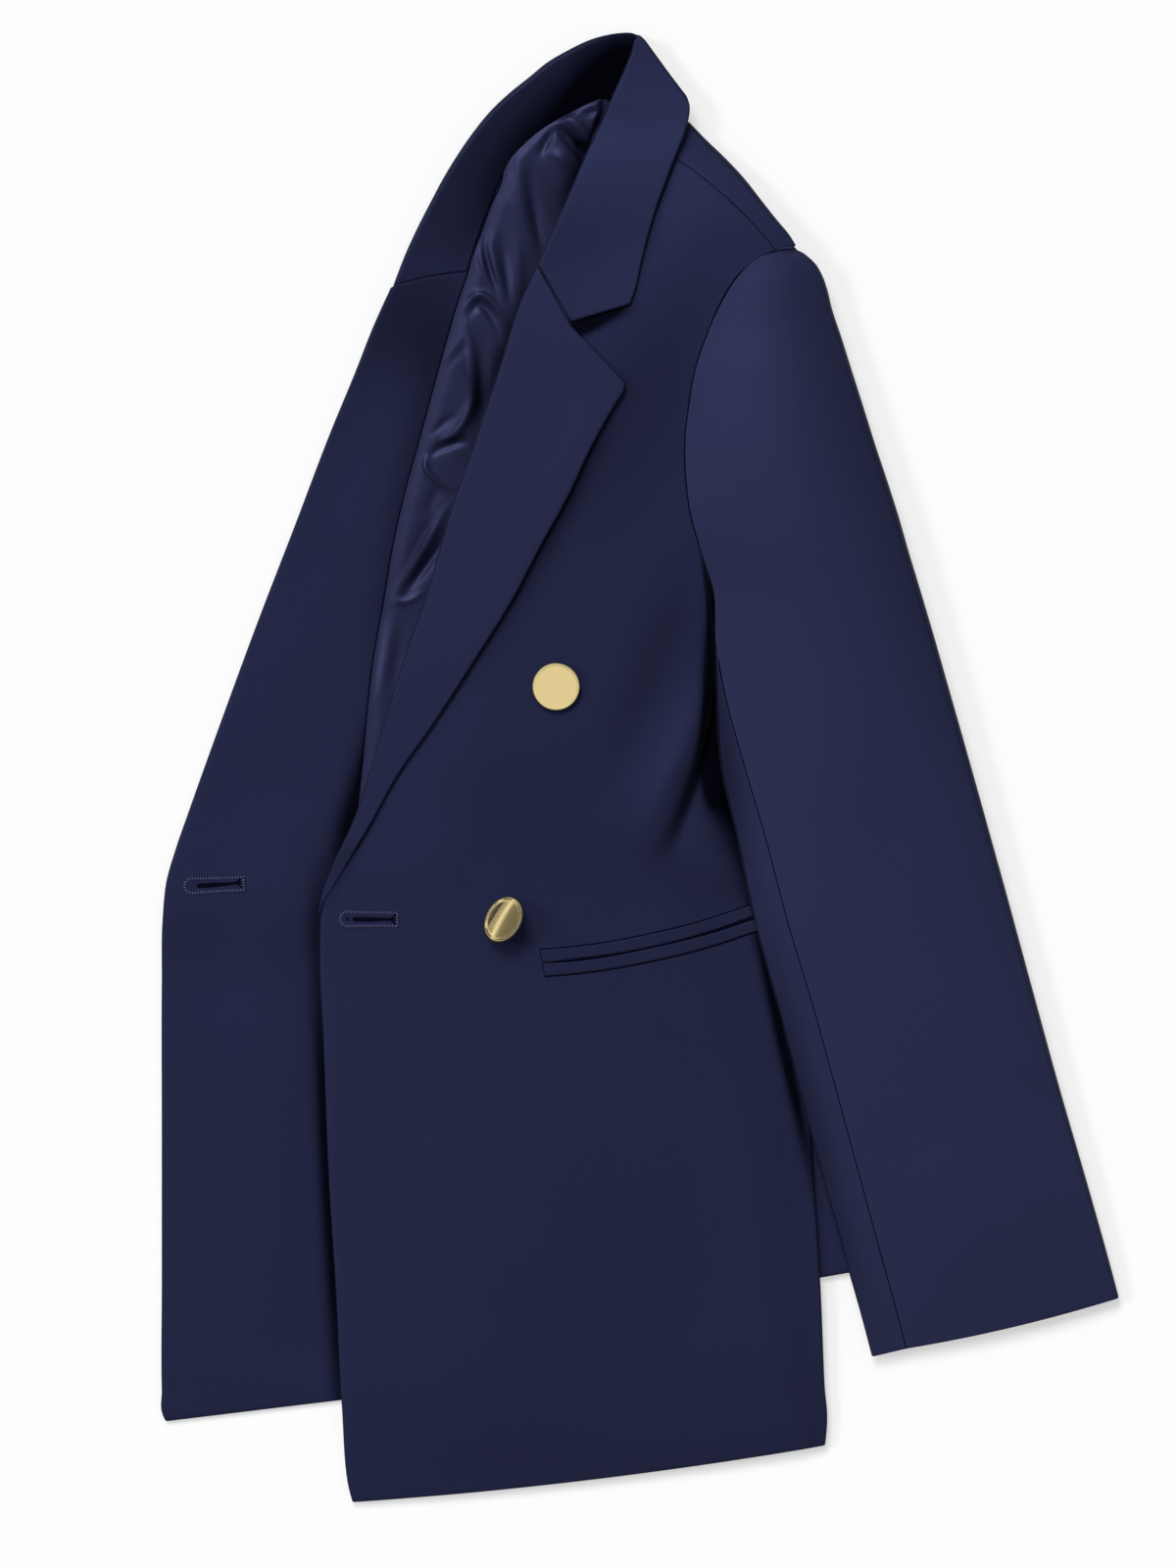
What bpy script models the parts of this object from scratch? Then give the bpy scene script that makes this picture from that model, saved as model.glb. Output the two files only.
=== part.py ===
"""A double breasted blazer, folded in half along its centre back and laid flat.

The left half lies on top with its outside up: front, turned lapel, collar, jetted pocket, two
metal buttons and a two piece sleeve. The right half lies under it with its inside up and shows
its facing, the inside of its collar and the lining. Every piece of cloth is a wall of its own,
worked out from short tables of its edges and of its height above the surface it lies on.
All tables are in millimetres: x to the right, y towards the collar, z up from the surface.
"""

import math

import bmesh
import bpy
import numpy as np

MM = 0.001

# Driving sizes, in millimetres
WALL = 1.6  # suiting with its interlining
LINING_WALL = 1.0
LAYER_GAP = 0.5  # between layers that lie on each other
SEAM_GAP = 0.3  # each piece's half of the gap at a seam
BUTTON_DIAMETER = 26.0
BUTTON_THICKNESS = 2.4
WELT_WIDTH = 7.3

LAPEL_ROLL = 3.15  # radius of the fold, round the front's own wall
COLLAR_ROLL = 3.2
UNDER_ROLL = 2.85  # the right half's own roll line, on the surface
EDGE_ROLL = 1.8
SIDE_ROLL = 2.2
UNDER_CHEST = 5.8  # height of the right half's facing above the break
UNDER_SKIRT = 3.7  # and below it

for old in list(bpy.data.objects):
    bpy.data.objects.remove(old, do_unlink=True)

blazer = bpy.data.collections.new("double_breasted_blazer")
bpy.context.scene.collection.children.link(blazer)


# Tables and smooth lines


def columns(names, *rows):
    """A table as one array for each named column."""
    return dict(zip(names.split(), np.array(rows, float).T, strict=True))


def smooth(t):
    """0 to 1 with no corner at either end."""
    t = np.clip(t, 0.0, 1.0)
    return t * t * (3 - 2 * t)


def through(knots, values, at):
    """Smooth line through a table's values: each knot's slope comes from its two neighbours."""
    slope = np.gradient(values, knots)
    at = np.clip(at, knots[0], knots[-1])
    i = np.clip(np.searchsorted(knots, at) - 1, 0, len(knots) - 2)
    step = knots[i + 1] - knots[i]
    t = (at - knots[i]) / step
    rise = values[i + 1] - values[i]
    start, end = slope[i] * step, slope[i + 1] * step
    return values[i] + t * (start + t * (3 * rise - 2 * start - end + t * (start + end - 2 * rise)))


def down(table, name, y):
    """A column of a table whose rows run down the garment, read at height y."""
    return through(-table["y"], table[name], -np.asarray(y, float))


# Heights of the upper half's outer face

PLATEAU_REACH = 70.0  # how far in from its front edge the front reaches its full height

BODY = columns(
    "y plateau edge_x edge_z",
    (372, 8.0, -16, 8.0),
    (356, 12.5, -26, 12.0),
    (340, 17.0, -32, 14.5),
    (315, 20.0, -43, 16.0),
    (283, 21.5, -57.2, 16.5),
    (248, 22.5, -72.1, 16.0),
    (206, 23.0, -85.2, 15.4),
    (148, 23.0, -105.1, 14.6),
    (103, 22.5, -118.3, 14.0),
    (58, 21.0, -133.7, 13.2),
    (14, 19.0, -147.4, 12.2),
    (-29, 16.8, -161.2, 11.0),
    (-60, 15.2, -176, 9.9),
    (-80, 14.4, -179.9, 8.9),
    (-110, 13.6, -179.9, 7.9),
    (-151, 13.0, -177.7, 7.6),
    (-228, 12.4, -174.9, 7.5),
    (-300, 11.8, -170.6, 7.5),
    (-345, 10.6, -168.2, 7.3),
    (-375, 7.4, -166.5, 5.4),
    (-400, 5.0, -164.3, 4.4),
    (-420, 4.3, -160, 4.1),
)

# Where the upper half falls away to its side: from the brow of the fall to its foot
SIDE = columns(
    "y brow_x foot_x foot_z",
    (150, 16, 40, 22.6),
    (134, 20, 40, 21.6),
    (102, 30, 42, 15.5),
    (80, 37, 43, 10.8),
    (58, 39, 44, 9.2),
    (36, 36, 42.5, 8.8),
    (14, 31, 39, 8.7),
    (-8, 24, 35, 8.7),
    (-30, 14, 33, 8.7),
    (-52, 4, 40, 8.7),
    (-74, 2, 52, 8.8),
    (-96, 10, 63, 8.9),
    (-140, 34, 80, 9.2),
    (-228, 62, 97, 9.6),
    (-292, 68, 101, 9.6),
    (-325, 74, 102.5, 8.6),
    (-352, 80, 104, 7.2),
    (-378, 88, 105, 5.2),
    (-420, 92, 105, 4.0),
)


def front_face(x, y):
    """Height of the left front's outer face: a plateau that falls to its front edge and side."""
    edge_z = down(BODY, "edge_z", y)
    rise = smooth((x - down(BODY, "edge_x", y)) / PLATEAU_REACH)
    face = edge_z + (down(BODY, "plateau", y) - edge_z) * rise
    brow, foot = down(SIDE, "brow_x", y), down(SIDE, "foot_x", y)
    low = np.minimum(down(SIDE, "foot_z", y), face)
    falls = smooth((foot - x) / (foot - brow))
    return np.where(np.asarray(y) > 150, face, low + (face - low) * falls)


# The left sleeve's inner and outer line, and the heights of its edges

SLEEVE = columns(
    "left_x left_y right_x right_y inner_top outer_top outer_low crown",
    (86.4, 291.1, 92.0, 288.8, 18.5, 17.0, 6.0, 0.0),
    (76.8, 290.5, 97.5, 284.8, 20.6, 16.6, 5.0, 0.6),
    (66.0, 286.5, 101.5, 279.0, 21.4, 16.4, 4.0, 1.4),
    (55.0, 276.0, 105.0, 270.0, 21.8, 16.4, 3.4, 2.2),
    (46.0, 262.0, 108.0, 258.0, 22.2, 16.4, 3.0, 2.8),
    (38.5, 245.5, 113.0, 243.0, 22.4, 16.0, 3.0, 3.2),
    (32.0, 227.0, 118.0, 227.0, 22.8, 16.4, 3.0, 3.5),
    (27.5, 204.0, 125.0, 205.0, 23.0, 16.8, 3.0, 3.7),
    (25.2, 180.0, 132.5, 181.0, 23.0, 17.0, 3.0, 3.8),
    (26.0, 160.0, 139.0, 161.5, 23.0, 17.0, 3.0, 3.8),
    (29.0, 140.0, 145.5, 141.0, 22.6, 17.0, 3.0, 3.8),
    (34.5, 122.0, 150.5, 123.5, 21.6, 16.8, 3.0, 3.8),
    (39.5, 99.0, 157.0, 102.0, 20.2, 16.6, 3.0, 3.8),
    (43.8, 70.0, 165.0, 75.0, 19.0, 16.4, 3.0, 3.6),
    (45.1, 40.0, 173.0, 47.0, 18.6, 16.0, 2.8, 3.4),
    (46.8, 3.0, 183.0, 12.0, 18.2, 15.4, 2.6, 3.2),
    (55.0, -41.2, 194.5, -29.0, 17.8, 14.8, 2.4, 3.0),
    (64.4, -85.0, 205.5, -68.5, 17.4, 14.2, 2.2, 2.8),
    (79.2, -140.0, 219.0, -118.0, 16.8, 13.6, 2.0, 2.6),
    (96.5, -206.0, 235.5, -178.0, 15.8, 13.0, 1.6, 2.4),
    (114.4, -272.0, 253.5, -240.0, 13.8, 12.2, 1.0, 2.2),
    (125.4, -311.0, 264.5, -279.0, 11.6, 11.0, 0.4, 1.6),
    (130.4, -330.0, 269.3, -297.0, 10.2, 10.2, 0.2, 1.0),
)
ARMHOLE_ROWS = 14  # rows of the table whose left end is on the armhole seam
ARMHOLE_FOOT = 95.0  # height below which the front passes under the sleeve

# The seam on top of the sleeve, by its distance from the inner line
SLEEVE_SEAM = columns(
    "y inset",
    (70, 0.0),
    (54, 4.0),
    (35, 7.5),
    (2, 12.6),
    (-35, 16.4),
    (-89, 18.2),
    (-157, 19.4),
    (-238, 20.0),
    (-330, 19.7),
)

# The lower edge of the right sleeve's tube, and its two sides
RIGHT_SLEEVE = columns(
    "left_x left_y right_x right_y",
    (50, 35, 146, 44),
    (51, 0, 149, 14),
    (55, -60, 155, -45),
    (60, -120, 161, -104),
    (64, -180, 167, -164),
    (69, -228, 172, -212),
    (78, -290, 179, -272.5),
)
RIGHT_SLEEVE_TOP = 4.8
FLOOR_GAP = 0.2  # under cloth that lies on the surface
DRAPE = 26.0  # how far beyond the right sleeve the upper one reaches the surface


def sleeve_place(x, y):
    """Fraction from the inner line to the outer one, and the height of that row's inner end."""
    left = down({"y": SLEEVE["left_y"], "x": SLEEVE["left_x"]}, "x", y)
    right = down({"y": SLEEVE["right_y"], "x": SLEEVE["right_x"]}, "x", y)
    share = np.clip((x - left) / np.maximum(right - left, 1.0), 0.0, 1.0)
    tilt = down({"y": SLEEVE["left_y"], "t": SLEEVE["right_y"] - SLEEVE["left_y"]}, "t", y)
    return share, np.asarray(y, float) - share * tilt


def sleeve_face(x, y):
    """Height of the sleeve's upper face: a low crown between its two edges."""
    share, row_y = sleeve_place(x, y)
    rows = {"y": SLEEVE["left_y"], **SLEEVE}
    inner, outer = down(rows, "inner_top", row_y), down(rows, "outer_top", row_y)
    crown = down(rows, "crown", row_y) * np.sin(math.pi * share) ** 0.8
    return inner + (outer - inner) * share + crown


def sleeve_floor(x, y):
    """Height of the sleeve's underside: over the side, over the right sleeve, then the surface."""
    share, row_y = sleeve_place(x, y)
    rows = {"y": SLEEVE["left_y"], **SLEEVE}
    outer = down(rows, "outer_low", row_y)
    lower_edge = down({"y": RIGHT_SLEEVE["right_y"], "x": RIGHT_SLEEVE["right_x"]}, "x", y)
    lies_over = smooth((row_y + 345) / 32.0) * smooth((lower_edge + DRAPE - x) / (DRAPE - 4.0))
    over_sleeve = RIGHT_SLEEVE_TOP + LAYER_GAP + SEAM_GAP
    middle = FLOOR_GAP + (over_sleeve - FLOOR_GAP) * lies_over
    over_side = smooth((row_y + 262) / 30.0) * smooth(1.35 - share * 6.0) * 4.4
    return middle + over_side + (outer - middle) * smooth((share - 0.72) / 0.26)


def upper_face(x, y):
    """Height of whatever cloth of the left half lies on top, the turned pieces left out."""
    armhole = down({"y": SLEEVE["left_y"], "x": SLEEVE["left_x"]}, "x", y)
    beyond = (np.asarray(x) > armhole) & (np.asarray(y) > ARMHOLE_FOOT)
    return np.where(beyond, sleeve_face(x, y), front_face(x, y))


def spread_of(face, x, y, pick, reach):
    """The lowest or highest of a face over a small square round each point."""
    shifts = [(i * reach, j * reach) for i in (-1, 0, 1) for j in (-1, 0, 1)]
    return pick([face(x + dx, y + dy) for dx, dy in shifts], axis=0)


# Walls of cloth from ruled rows


def rolled_side(radius, wrap, leg, leg_steps):
    """Distance in from the edge, and drop below the face, at each point of a rolled side.

    It runs from the tip of the leg that is turned under, along the leg, round the fold through
    `wrap` degrees below level, and up a quarter round to just short of the face.
    """
    radius, turn = np.atleast_1d(radius)[:, None], np.radians(np.atleast_1d(wrap))[:, None]
    leg = np.atleast_1d(leg)[:, None]
    tip_in, tip_down = radius * (1 - np.cos(turn)), radius * (1 + np.sin(turn))
    along = leg * np.linspace(1, 0, leg_steps + 1)[None, :-1]
    inward = [tip_in + along * np.sin(turn)]
    drop = [tip_down + along * np.cos(turn)]
    for share in (1.0, 0.5):
        inward.append(radius * (1 - np.cos(turn * share)))
        drop.append(radius * (1 + np.sin(turn * share)))
    for angle in np.radians((0.0, 45.0)):
        inward.append(radius * (1 - math.cos(angle)) + 0 * turn)
        drop.append(radius * (1 - math.sin(angle)) + 0 * turn)
    return np.concatenate(inward, axis=1), np.concatenate(drop, axis=1)


def row_places(length, count, roll):
    """Distances down a panel, closer on the round of a rolled first row, and each row's drop."""
    if not roll:
        return np.linspace(0, length, count), np.zeros(count)
    angle = np.radians((0.0, 30.0, 60.0))
    places = np.concatenate([roll * (1 - np.cos(angle)), np.linspace(roll, length, count)])
    return places, np.concatenate([roll * (1 - np.sin(angle)), np.zeros(count)])


class Panel:
    """A sheet between a left and a right edge, each row straight but for its bow."""

    def __init__(self, table, rows, top_roll=0.0):
        middle_x = (table["left_x"] + table["right_x"]) / 2
        middle_y = (table["left_y"] + table["right_y"]) / 2
        steps = np.hypot(np.diff(middle_x), np.diff(middle_y))
        self.knots = np.concatenate([[0.0], np.cumsum(steps)])
        self.table = table
        self.places, self.row_drop = row_places(self.knots[-1], rows, top_roll)
        self.left = np.stack([self.read("left_x"), self.read("left_y")], axis=1)
        self.right = np.stack([self.read("right_x"), self.read("right_y")], axis=1)
        self.width = np.linalg.norm(self.right - self.left, axis=1)
        self.bow = self.read("bow") if "bow" in table else np.zeros(len(self.places))

    def read(self, name):
        return through(self.knots, self.table[name], self.places)

    def points(
        self, face, steps, left=None, right=None, apex=None, under=None, crowd=0.0, lift=None
    ):
        """The outer face as rows of points.

        left and right are (radius, wrap, leg, leg_steps) of a rolled side. A bow is a parabola,
        or with an apex a bend at that share of the row. under gives a leg's own height, crowd
        brings the columns closer together towards the right, and lift raises each row's left
        side, fading towards its right one.
        """
        count, width = len(self.places), self.width[:, None]
        one = np.ones(count)
        parts, drops, legs = [], [], []
        start, stop = 0 * width, width
        if left:
            radius, wrap, leg, leg_steps = left
            inward, drop = rolled_side(radius * one, wrap * one, leg * one, leg_steps)
            parts.append(inward)
            drops.append(drop)
            legs.append(np.arange(inward.shape[1]) < leg_steps)
            start = (radius * one)[:, None]
        tail = None
        if right:
            radius, wrap, leg, leg_steps = right
            inward, drop = rolled_side(radius * one, wrap * one, leg * one, leg_steps)
            tail = (width - inward[:, ::-1], drop[:, ::-1])
            stop = width - (radius * one)[:, None]
        spaced = np.linspace(0, 1, steps + 1)
        spaced = spaced + crowd * np.sin(math.pi * spaced)
        parts.append(start + (stop - start) * spaced[None])
        drops.append(np.zeros((count, steps + 1)))
        legs.append(np.zeros(steps + 1, bool))
        if tail:
            parts.append(tail[0])
            drops.append(tail[1])
            legs.append(np.arange(tail[0].shape[1]) >= tail[0].shape[1] - leg_steps)
        along, drop = np.concatenate(parts, axis=1), np.concatenate(drops, axis=1)
        share = along / width
        if apex is None:
            bend = 4 * share * (1 - share)
        else:
            bend = np.clip(np.minimum(share / apex, (1 - share) / (1 - apex)), 0, 1)
        direction = (self.right - self.left) / width
        across = np.stack([-direction[:, 1], direction[:, 0]], axis=1)
        plan = self.left[:, None] + direction[:, None] * along[..., None]
        plan = plan + across[:, None] * (self.bow[:, None] * bend)[..., None]
        x, y = plan[..., 0], plan[..., 1]
        z = face(x, y) - drop - self.row_drop[:, None]
        if lift is not None:
            fade = np.cos(np.clip(share, 0, 1) * math.pi / 2)
            z = z + lift[:, None] * np.where(np.concatenate(legs)[None], 1.0, fade)
        if under is not None:
            z = np.where(np.concatenate(legs)[None], under(x, y), z)
        return np.stack([x, y, z], axis=-1)


def material(name, colour, roughness, metallic=0.0):
    """A Principled finish, made once for each name."""
    found = bpy.data.materials.get(name)
    if found:
        return found
    found = bpy.data.materials.new(name)
    found.use_nodes = True
    shader = found.node_tree.nodes["Principled BSDF"]
    shader.inputs["Base Color"].default_value = (*colour, 1.0)
    shader.inputs["Roughness"].default_value = roughness
    shader.inputs["Metallic"].default_value = metallic
    return found


def keep(name, mesh, finish):
    """A mesh as an object of the blazer, shaded smooth."""
    piece = bpy.data.objects.new(name, mesh)
    blazer.objects.link(piece)
    mesh.materials.append(finish)
    mesh.shade_smooth()
    return piece


def grid_mesh(name, points, round_and_round=False):
    """A mesh with a face between each four neighbours of a grid of points, in millimetres."""
    rows, count = points.shape[:2]
    index = np.arange(rows * count).reshape(rows, count)
    if round_and_round:
        index = np.concatenate([index, index[:, :1]], axis=1)
    corners = (index[:-1, :-1], index[1:, :-1], index[1:, 1:], index[:-1, 1:])
    faces = np.stack(corners, axis=-1).reshape(-1, 4)
    mesh = bpy.data.meshes.new(name)
    mesh.from_pydata((points.reshape(-1, 3) * MM).tolist(), [], faces.tolist())
    return mesh


def cloth(name, points, finish, wall=WALL, round_and_round=False):
    """A wall of cloth: its outer face from a grid of points, thickened to the inside."""
    piece = keep(name, grid_mesh(name, points, round_and_round), finish)
    thickness = piece.modifiers.new("Wall", "SOLIDIFY")
    thickness.thickness = wall * MM
    thickness.offset = -1
    return piece


SUITING = material("navy_suiting", (0.018, 0.021, 0.062), 0.85)
SUITING_INSIDE = material("navy_suiting_inside", (0.014, 0.016, 0.050), 0.85)
SATIN = material("navy_satin", (0.014, 0.017, 0.070), 0.35)
GOLD = material("pale_gold", (0.83, 0.65, 0.33), 0.25, 1.0)
THREAD = material("navy_thread", (0.012, 0.014, 0.045), 0.7)


# The left front, from the shoulder seam to the hem

LEFT_FRONT = columns(
    "left_x left_y right_x right_y bow",
    (12.5, 348.0, 76.2, 290.6, 3.6),
    (2.0, 334.5, 65.6, 286.1, 2.0),
    (-10.0, 317.5, 53.8, 275.4, 1.0),
    (-22.0, 301.5, 45.2, 261.8, 0.5),
    (-36.0, 287.0, 38.1, 245.3, 0.0),
    (-57.5, 270.5, 31.6, 226.9, 0.0),
    (-69.0, 247.5, 27.1, 204.0, 0.0),
    (-76.5, 223.0, 24.8, 180.0, 0.0),
    (-86.4, 193.0, 25.6, 160.0, 0.0),
    (-95.0, 168.0, 28.6, 140.1, 0.0),
    (-104.0, 142.0, 34.1, 122.2, 0.0),
    (-114.0, 107.5, 39.1, 99.1, 0.0),
    (-124.0, 77.0, 43.4, 73.0, 0.0),
    (-133.5, 49.0, 50.0, 50.0, 0.0),
    (-144.0, 15.0, 55.0, 14.0, 0.0),
    (-154.8, -20.0, 61.0, -22.0, 0.0),
    (-167.6, -50.0, 68.0, -58.0, 0.0),
    (-178.2, -76.0, 76.0, -88.0, 0.0),
    (-179.9, -104.0, 84.0, -120.0, 0.0),
    (-178.0, -150.0, 92.5, -165.0, 0.0),
    (-175.0, -228.0, 97.6, -228.0, 0.0),
    (-171.0, -292.0, 101.5, -290.0, 0.0),
    (-167.6, -358.0, 103.8, -345.0, -1.5),
    (-163.8, -404.0, 105.1, -371.0, -3.0),
    (-161.6, -412.2, 104.2, -380.0, -3.4),
)

left_front = Panel(LEFT_FRONT, 28)
below_break = smooth((-58 - left_front.left[:, 1]) / 24.0)
front_edge = (0.6 + (EDGE_ROLL - 0.6) * below_break, 25, 0.3, 1)
below_armhole = smooth((80 - left_front.right[:, 1]) / 30.0)
side_edge = (0.6 + (SIDE_ROLL - 0.6) * below_armhole, 25, 0.3, 1)
front_points = left_front.points(front_face, 13, left=front_edge, right=side_edge, crowd=0.18)
cloth("left_front", front_points, SUITING)

# The left lapel: the facing, turned out along the roll line and back under the front

LEFT_LAPEL = columns(
    "left_x left_y right_x right_y bow",
    (-57.6, 282.3, -9.2, 217.0, -5.2),
    (-62.0, 273.5, -9.6, 212.5, -3.5),
    (-67.7, 260.8, -14.0, 205.5, -1.5),
    (-72.1, 247.5, -20.5, 194.5, -0.5),
    (-78.7, 225.5, -30.0, 176.5, 0.0),
    (-85.2, 206.3, -39.5, 156.0, 0.0),
    (-96.3, 173.2, -56.5, 125.0, 0.0),
    (-105.1, 148.5, -70.0, 99.0, 0.0),
    (-118.3, 102.9, -92.0, 63.5, 0.0),
    (-133.7, 57.8, -116.0, 26.5, 0.0),
    (-147.4, 13.8, -136.0, -2.0, 0.0),
    (-161.2, -29.2, -153.5, -33.0, 0.0),
    (-175.3, -60.0, -169.5, -62.0, 0.0),
)


LAPEL_GAP = 0.85
LAPEL_SPRING = 1.8  # how much further it stands off the front away from its roll


def lapel_face(x, y):
    """The lapel's upper face, a wall and a gap above the front that it lies on."""
    springs = smooth((x - down(BODY, "edge_x", y)) / 40.0) * smooth((y + 40) / 120.0)
    rests = spread_of(front_face, x, y, np.max, 4.0) + LAPEL_GAP + WALL
    return rests + LAPEL_SPRING * springs


left_lapel = Panel(LEFT_LAPEL, 18)
lapel_points = left_lapel.points(lapel_face, 7, left=(LAPEL_ROLL, 88, 8.0, 1), apex=0.47)
cloth("left_lapel", lapel_points, SUITING)

# The collar's left half: its fall, turned down along the roll line, round the centre back fold

COLLAR_LEFT = columns(
    "left_x left_y right_x right_y bow",
    (-1.8, 411.6, 27.3, 370.0, 2.2),
    (-6.0, 400.5, 25.8, 360.5, 0.0),
    (-15.4, 378.4, 18.9, 343.0, 0.0),
    (-22.6, 361.4, 14.0, 330.0, 0.0),
    (-29.2, 347.6, 10.2, 320.0, 0.0),
    (-40.2, 321.8, 4.0, 300.0, -2.0),
    (-46.5, 307.5, 0.0, 284.0, -7.0),
    (-52.0, 295.0, -3.6, 268.0, -14.0),
    (-57.0, 284.0, -6.2, 260.9, -22.0),
)


COLLAR_LIFT = columns(
    "y lift",
    (415, 13.2),
    (385, 14.2),
    (362, 17.0),
    (345, 20.5),
    (322, 23.0),
    (300, 22.6),
    (283, 20.4),
    (250, 19.4),
)


COLLAR_SPRING = 3.0  # how far its free end stands off the front at the notch


def collar_face(x, y):
    """The fall's upper face: high along the roll, down to the cloth it lies on at its edge."""
    roll_x = through(-COLLAR_LEFT["left_y"], COLLAR_LEFT["left_x"], -np.asarray(y, float))
    out = smooth((x - roll_x - 6.0) / 34.0)
    high = down(COLLAR_LIFT, "lift", y)
    rests = spread_of(upper_face, x, y, np.max, 3.0) + LAYER_GAP + WALL
    rests = rests + (high - rests) * smooth((np.asarray(y) - 348.0) / 26.0)
    springs = smooth((x - roll_x - 12.0) / 24.0) * smooth((312.0 - np.asarray(y)) / 45.0)
    return np.maximum(high + (rests - high) * out, rests) + COLLAR_SPRING * springs


collar_left = Panel(COLLAR_LEFT, 10, top_roll=3.2)
from_fold = smooth(collar_left.places / 30.0)
collar_edge = (2.4 + (COLLAR_ROLL - 2.4) * from_fold, 15 + 65 * from_fold, 0.4 + 4 * from_fold, 1)
collar_points = collar_left.points(collar_face, 8, left=collar_edge, apex=0.546)
cloth("collar_left", collar_points, SUITING)

# The collar's right half, inside up: its stand, with the fall turned under it

COLLAR_RIGHT = columns(
    "left_x left_y right_x right_y bow leg lift",
    (0.2, 409.8, 21.5, 376.5, 1.0, 20, 0.0),
    (-8.0, 412.3, 2.0, 379.0, 0.0, 20, 0.8),
    (-18.2, 410.9, -10.5, 379.0, 0.0, 19, 2.6),
    (-29.2, 408.1, -19.5, 376.5, 0.0, 18, 4.8),
    (-40.2, 402.6, -27.0, 373.5, 0.0, 18, 6.8),
    (-51.2, 396.6, -34.5, 370.0, 0.0, 18, 8.2),
    (-62.2, 388.9, -42.0, 366.0, 0.0, 18, 8.8),
    (-73.2, 380.1, -50.0, 362.0, 0.0, 18, 9.0),
    (-84.2, 369.6, -58.5, 356.3, 0.0, 18, 9.0),
    (-95.2, 355.9, -67.5, 347.8, 0.0, 19, 8.8),
    (-106.2, 339.4, -75.5, 337.0, 0.0, 22, 8.4),
    (-117.2, 319.6, -84.2, 317.9, 0.0, 24, 7.8),
    (-132.6, 287.7, -93.5, 291.5, 0.6, 26, 6.6),
    (-138.9, 271.2, -97.0, 279.9, 1.4, 26, 6.0),
)


def under_face(x, y):
    """The right half's inner face: higher above the break, where its lapel lies under it."""
    return UNDER_SKIRT + (UNDER_CHEST - UNDER_SKIRT) * smooth((np.asarray(y) + 125.0) / 60.0)


collar_right = Panel(COLLAR_RIGHT, 16)
collar_lift = collar_right.read("lift")
fall_under = (UNDER_ROLL + collar_lift / 2, 90, collar_right.read("leg"), 2)
inside_points = collar_right.points(under_face, 5, left=fall_under, lift=collar_lift)
cloth("collar_right", inside_points, SUITING_INSIDE)

# The right front's facing, inside up, with its lapel turned under along the roll line

RIGHT_FACING = columns(
    "left_x left_y right_x right_y bow leg wrap roll lift",
    (-139.3, 270.3, -97.4, 278.9, 1.4, 4, 90, 2.85, 6.0),
    (-147.0, 249.7, -103.4, 261.2, 0.7, 26, 90, 2.85, 5.0),
    (-157.0, 223.0, -109.5, 240.0, 0.0, 58, 90, 2.85, 4.0),
    (-169.0, 191.4, -117.8, 209.0, 0.0, 57, 90, 2.85, 3.0),
    (-189.3, 137.5, -134.5, 147.0, 0.0, 48, 90, 2.85, 2.0),
    (-209.6, 83.1, -146.5, 84.0, 0.0, 37, 90, 2.85, 1.2),
    (-229.4, 30.3, -154.0, 30.0, 0.0, 26, 90, 2.85, 0.5),
    (-249.2, -22.6, -159.0, -22.0, 0.0, 11, 90, 2.85, 0.0),
    (-258.0, -45.7, -160.0, -50.0, 0.0, 1, 90, 2.8, 0.0),
    (-266.2, -62.5, -161.0, -68.0, 0.0, 0.6, 40, 2.2, 0.0),
    (-269.0, -85.0, -161.0, -88.0, 0.0, 0.5, 15, 1.9, 0.0),
    (-269.0, -120.0, -160.0, -122.0, 0.0, 0.5, 10, 1.8, 0.0),
    (-269.0, -200.0, -158.0, -196.0, 0.0, 0.5, 10, 1.8, 0.0),
    (-269.0, -290.0, -154.0, -281.0, 0.0, 0.5, 10, 1.8, 0.0),
    (-269.0, -350.0, -151.0, -339.0, 0.0, 0.5, 10, 1.8, 0.0),
    (-266.8, -366.8, -150.0, -352.6, 0.0, 0.5, 10, 1.8, 0.0),
)

right_facing = Panel(RIGHT_FACING, 24)
facing_lift = right_facing.read("lift")
facing_roll = right_facing.read("roll") + facing_lift / 2
turned = (facing_roll, right_facing.read("wrap"), right_facing.read("leg"), 2)
facing_points = right_facing.points(under_face, 6, left=turned, lift=facing_lift)
cloth("right_facing", facing_points, SUITING_INSIDE)

# The right front's shell under the facing and the lining

RIGHT_FRONT = columns(
    "left_x left_y right_x right_y",
    (-20.0, 369.0, -9.0, 366.0),
    (-41.0, 359.0, -20.0, 346.0),
    (-64.0, 345.0, -32.0, 318.0),
    (-80.0, 320.0, -42.0, 296.0),
    (-132.0, 271.0, -55.0, 270.0),
    (-146.0, 241.0, -64.0, 240.0),
    (-161.5, 200.0, -76.0, 200.0),
    (-184.5, 140.0, -94.0, 140.0),
    (-207.0, 80.0, -112.0, 80.0),
    (-229.0, 20.0, -132.0, 20.0),
    (-244.0, -22.0, -146.5, -22.0),
    (-255.0, -52.0, -158.5, -52.0),
    (-264.5, -80.0, -160.5, -84.0),
    (-266.0, -120.0, -159.5, -122.0),
    (-266.0, -200.0, -157.5, -196.0),
    (-266.0, -290.0, -153.5, -281.0),
    (-266.0, -350.0, -151.0, -339.0),
    (-265.0, -364.5, -150.0, -350.6),
)


def shell_face(x, y):
    """The shell's inner face, a wall and a gap below the facing's."""
    return under_face(x, y) - WALL - LAYER_GAP


cloth("right_front", Panel(RIGHT_FRONT, 22).points(shell_face, 5), SUITING_INSIDE)

# The satin lining in the neck opening, with its largest folds

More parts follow.
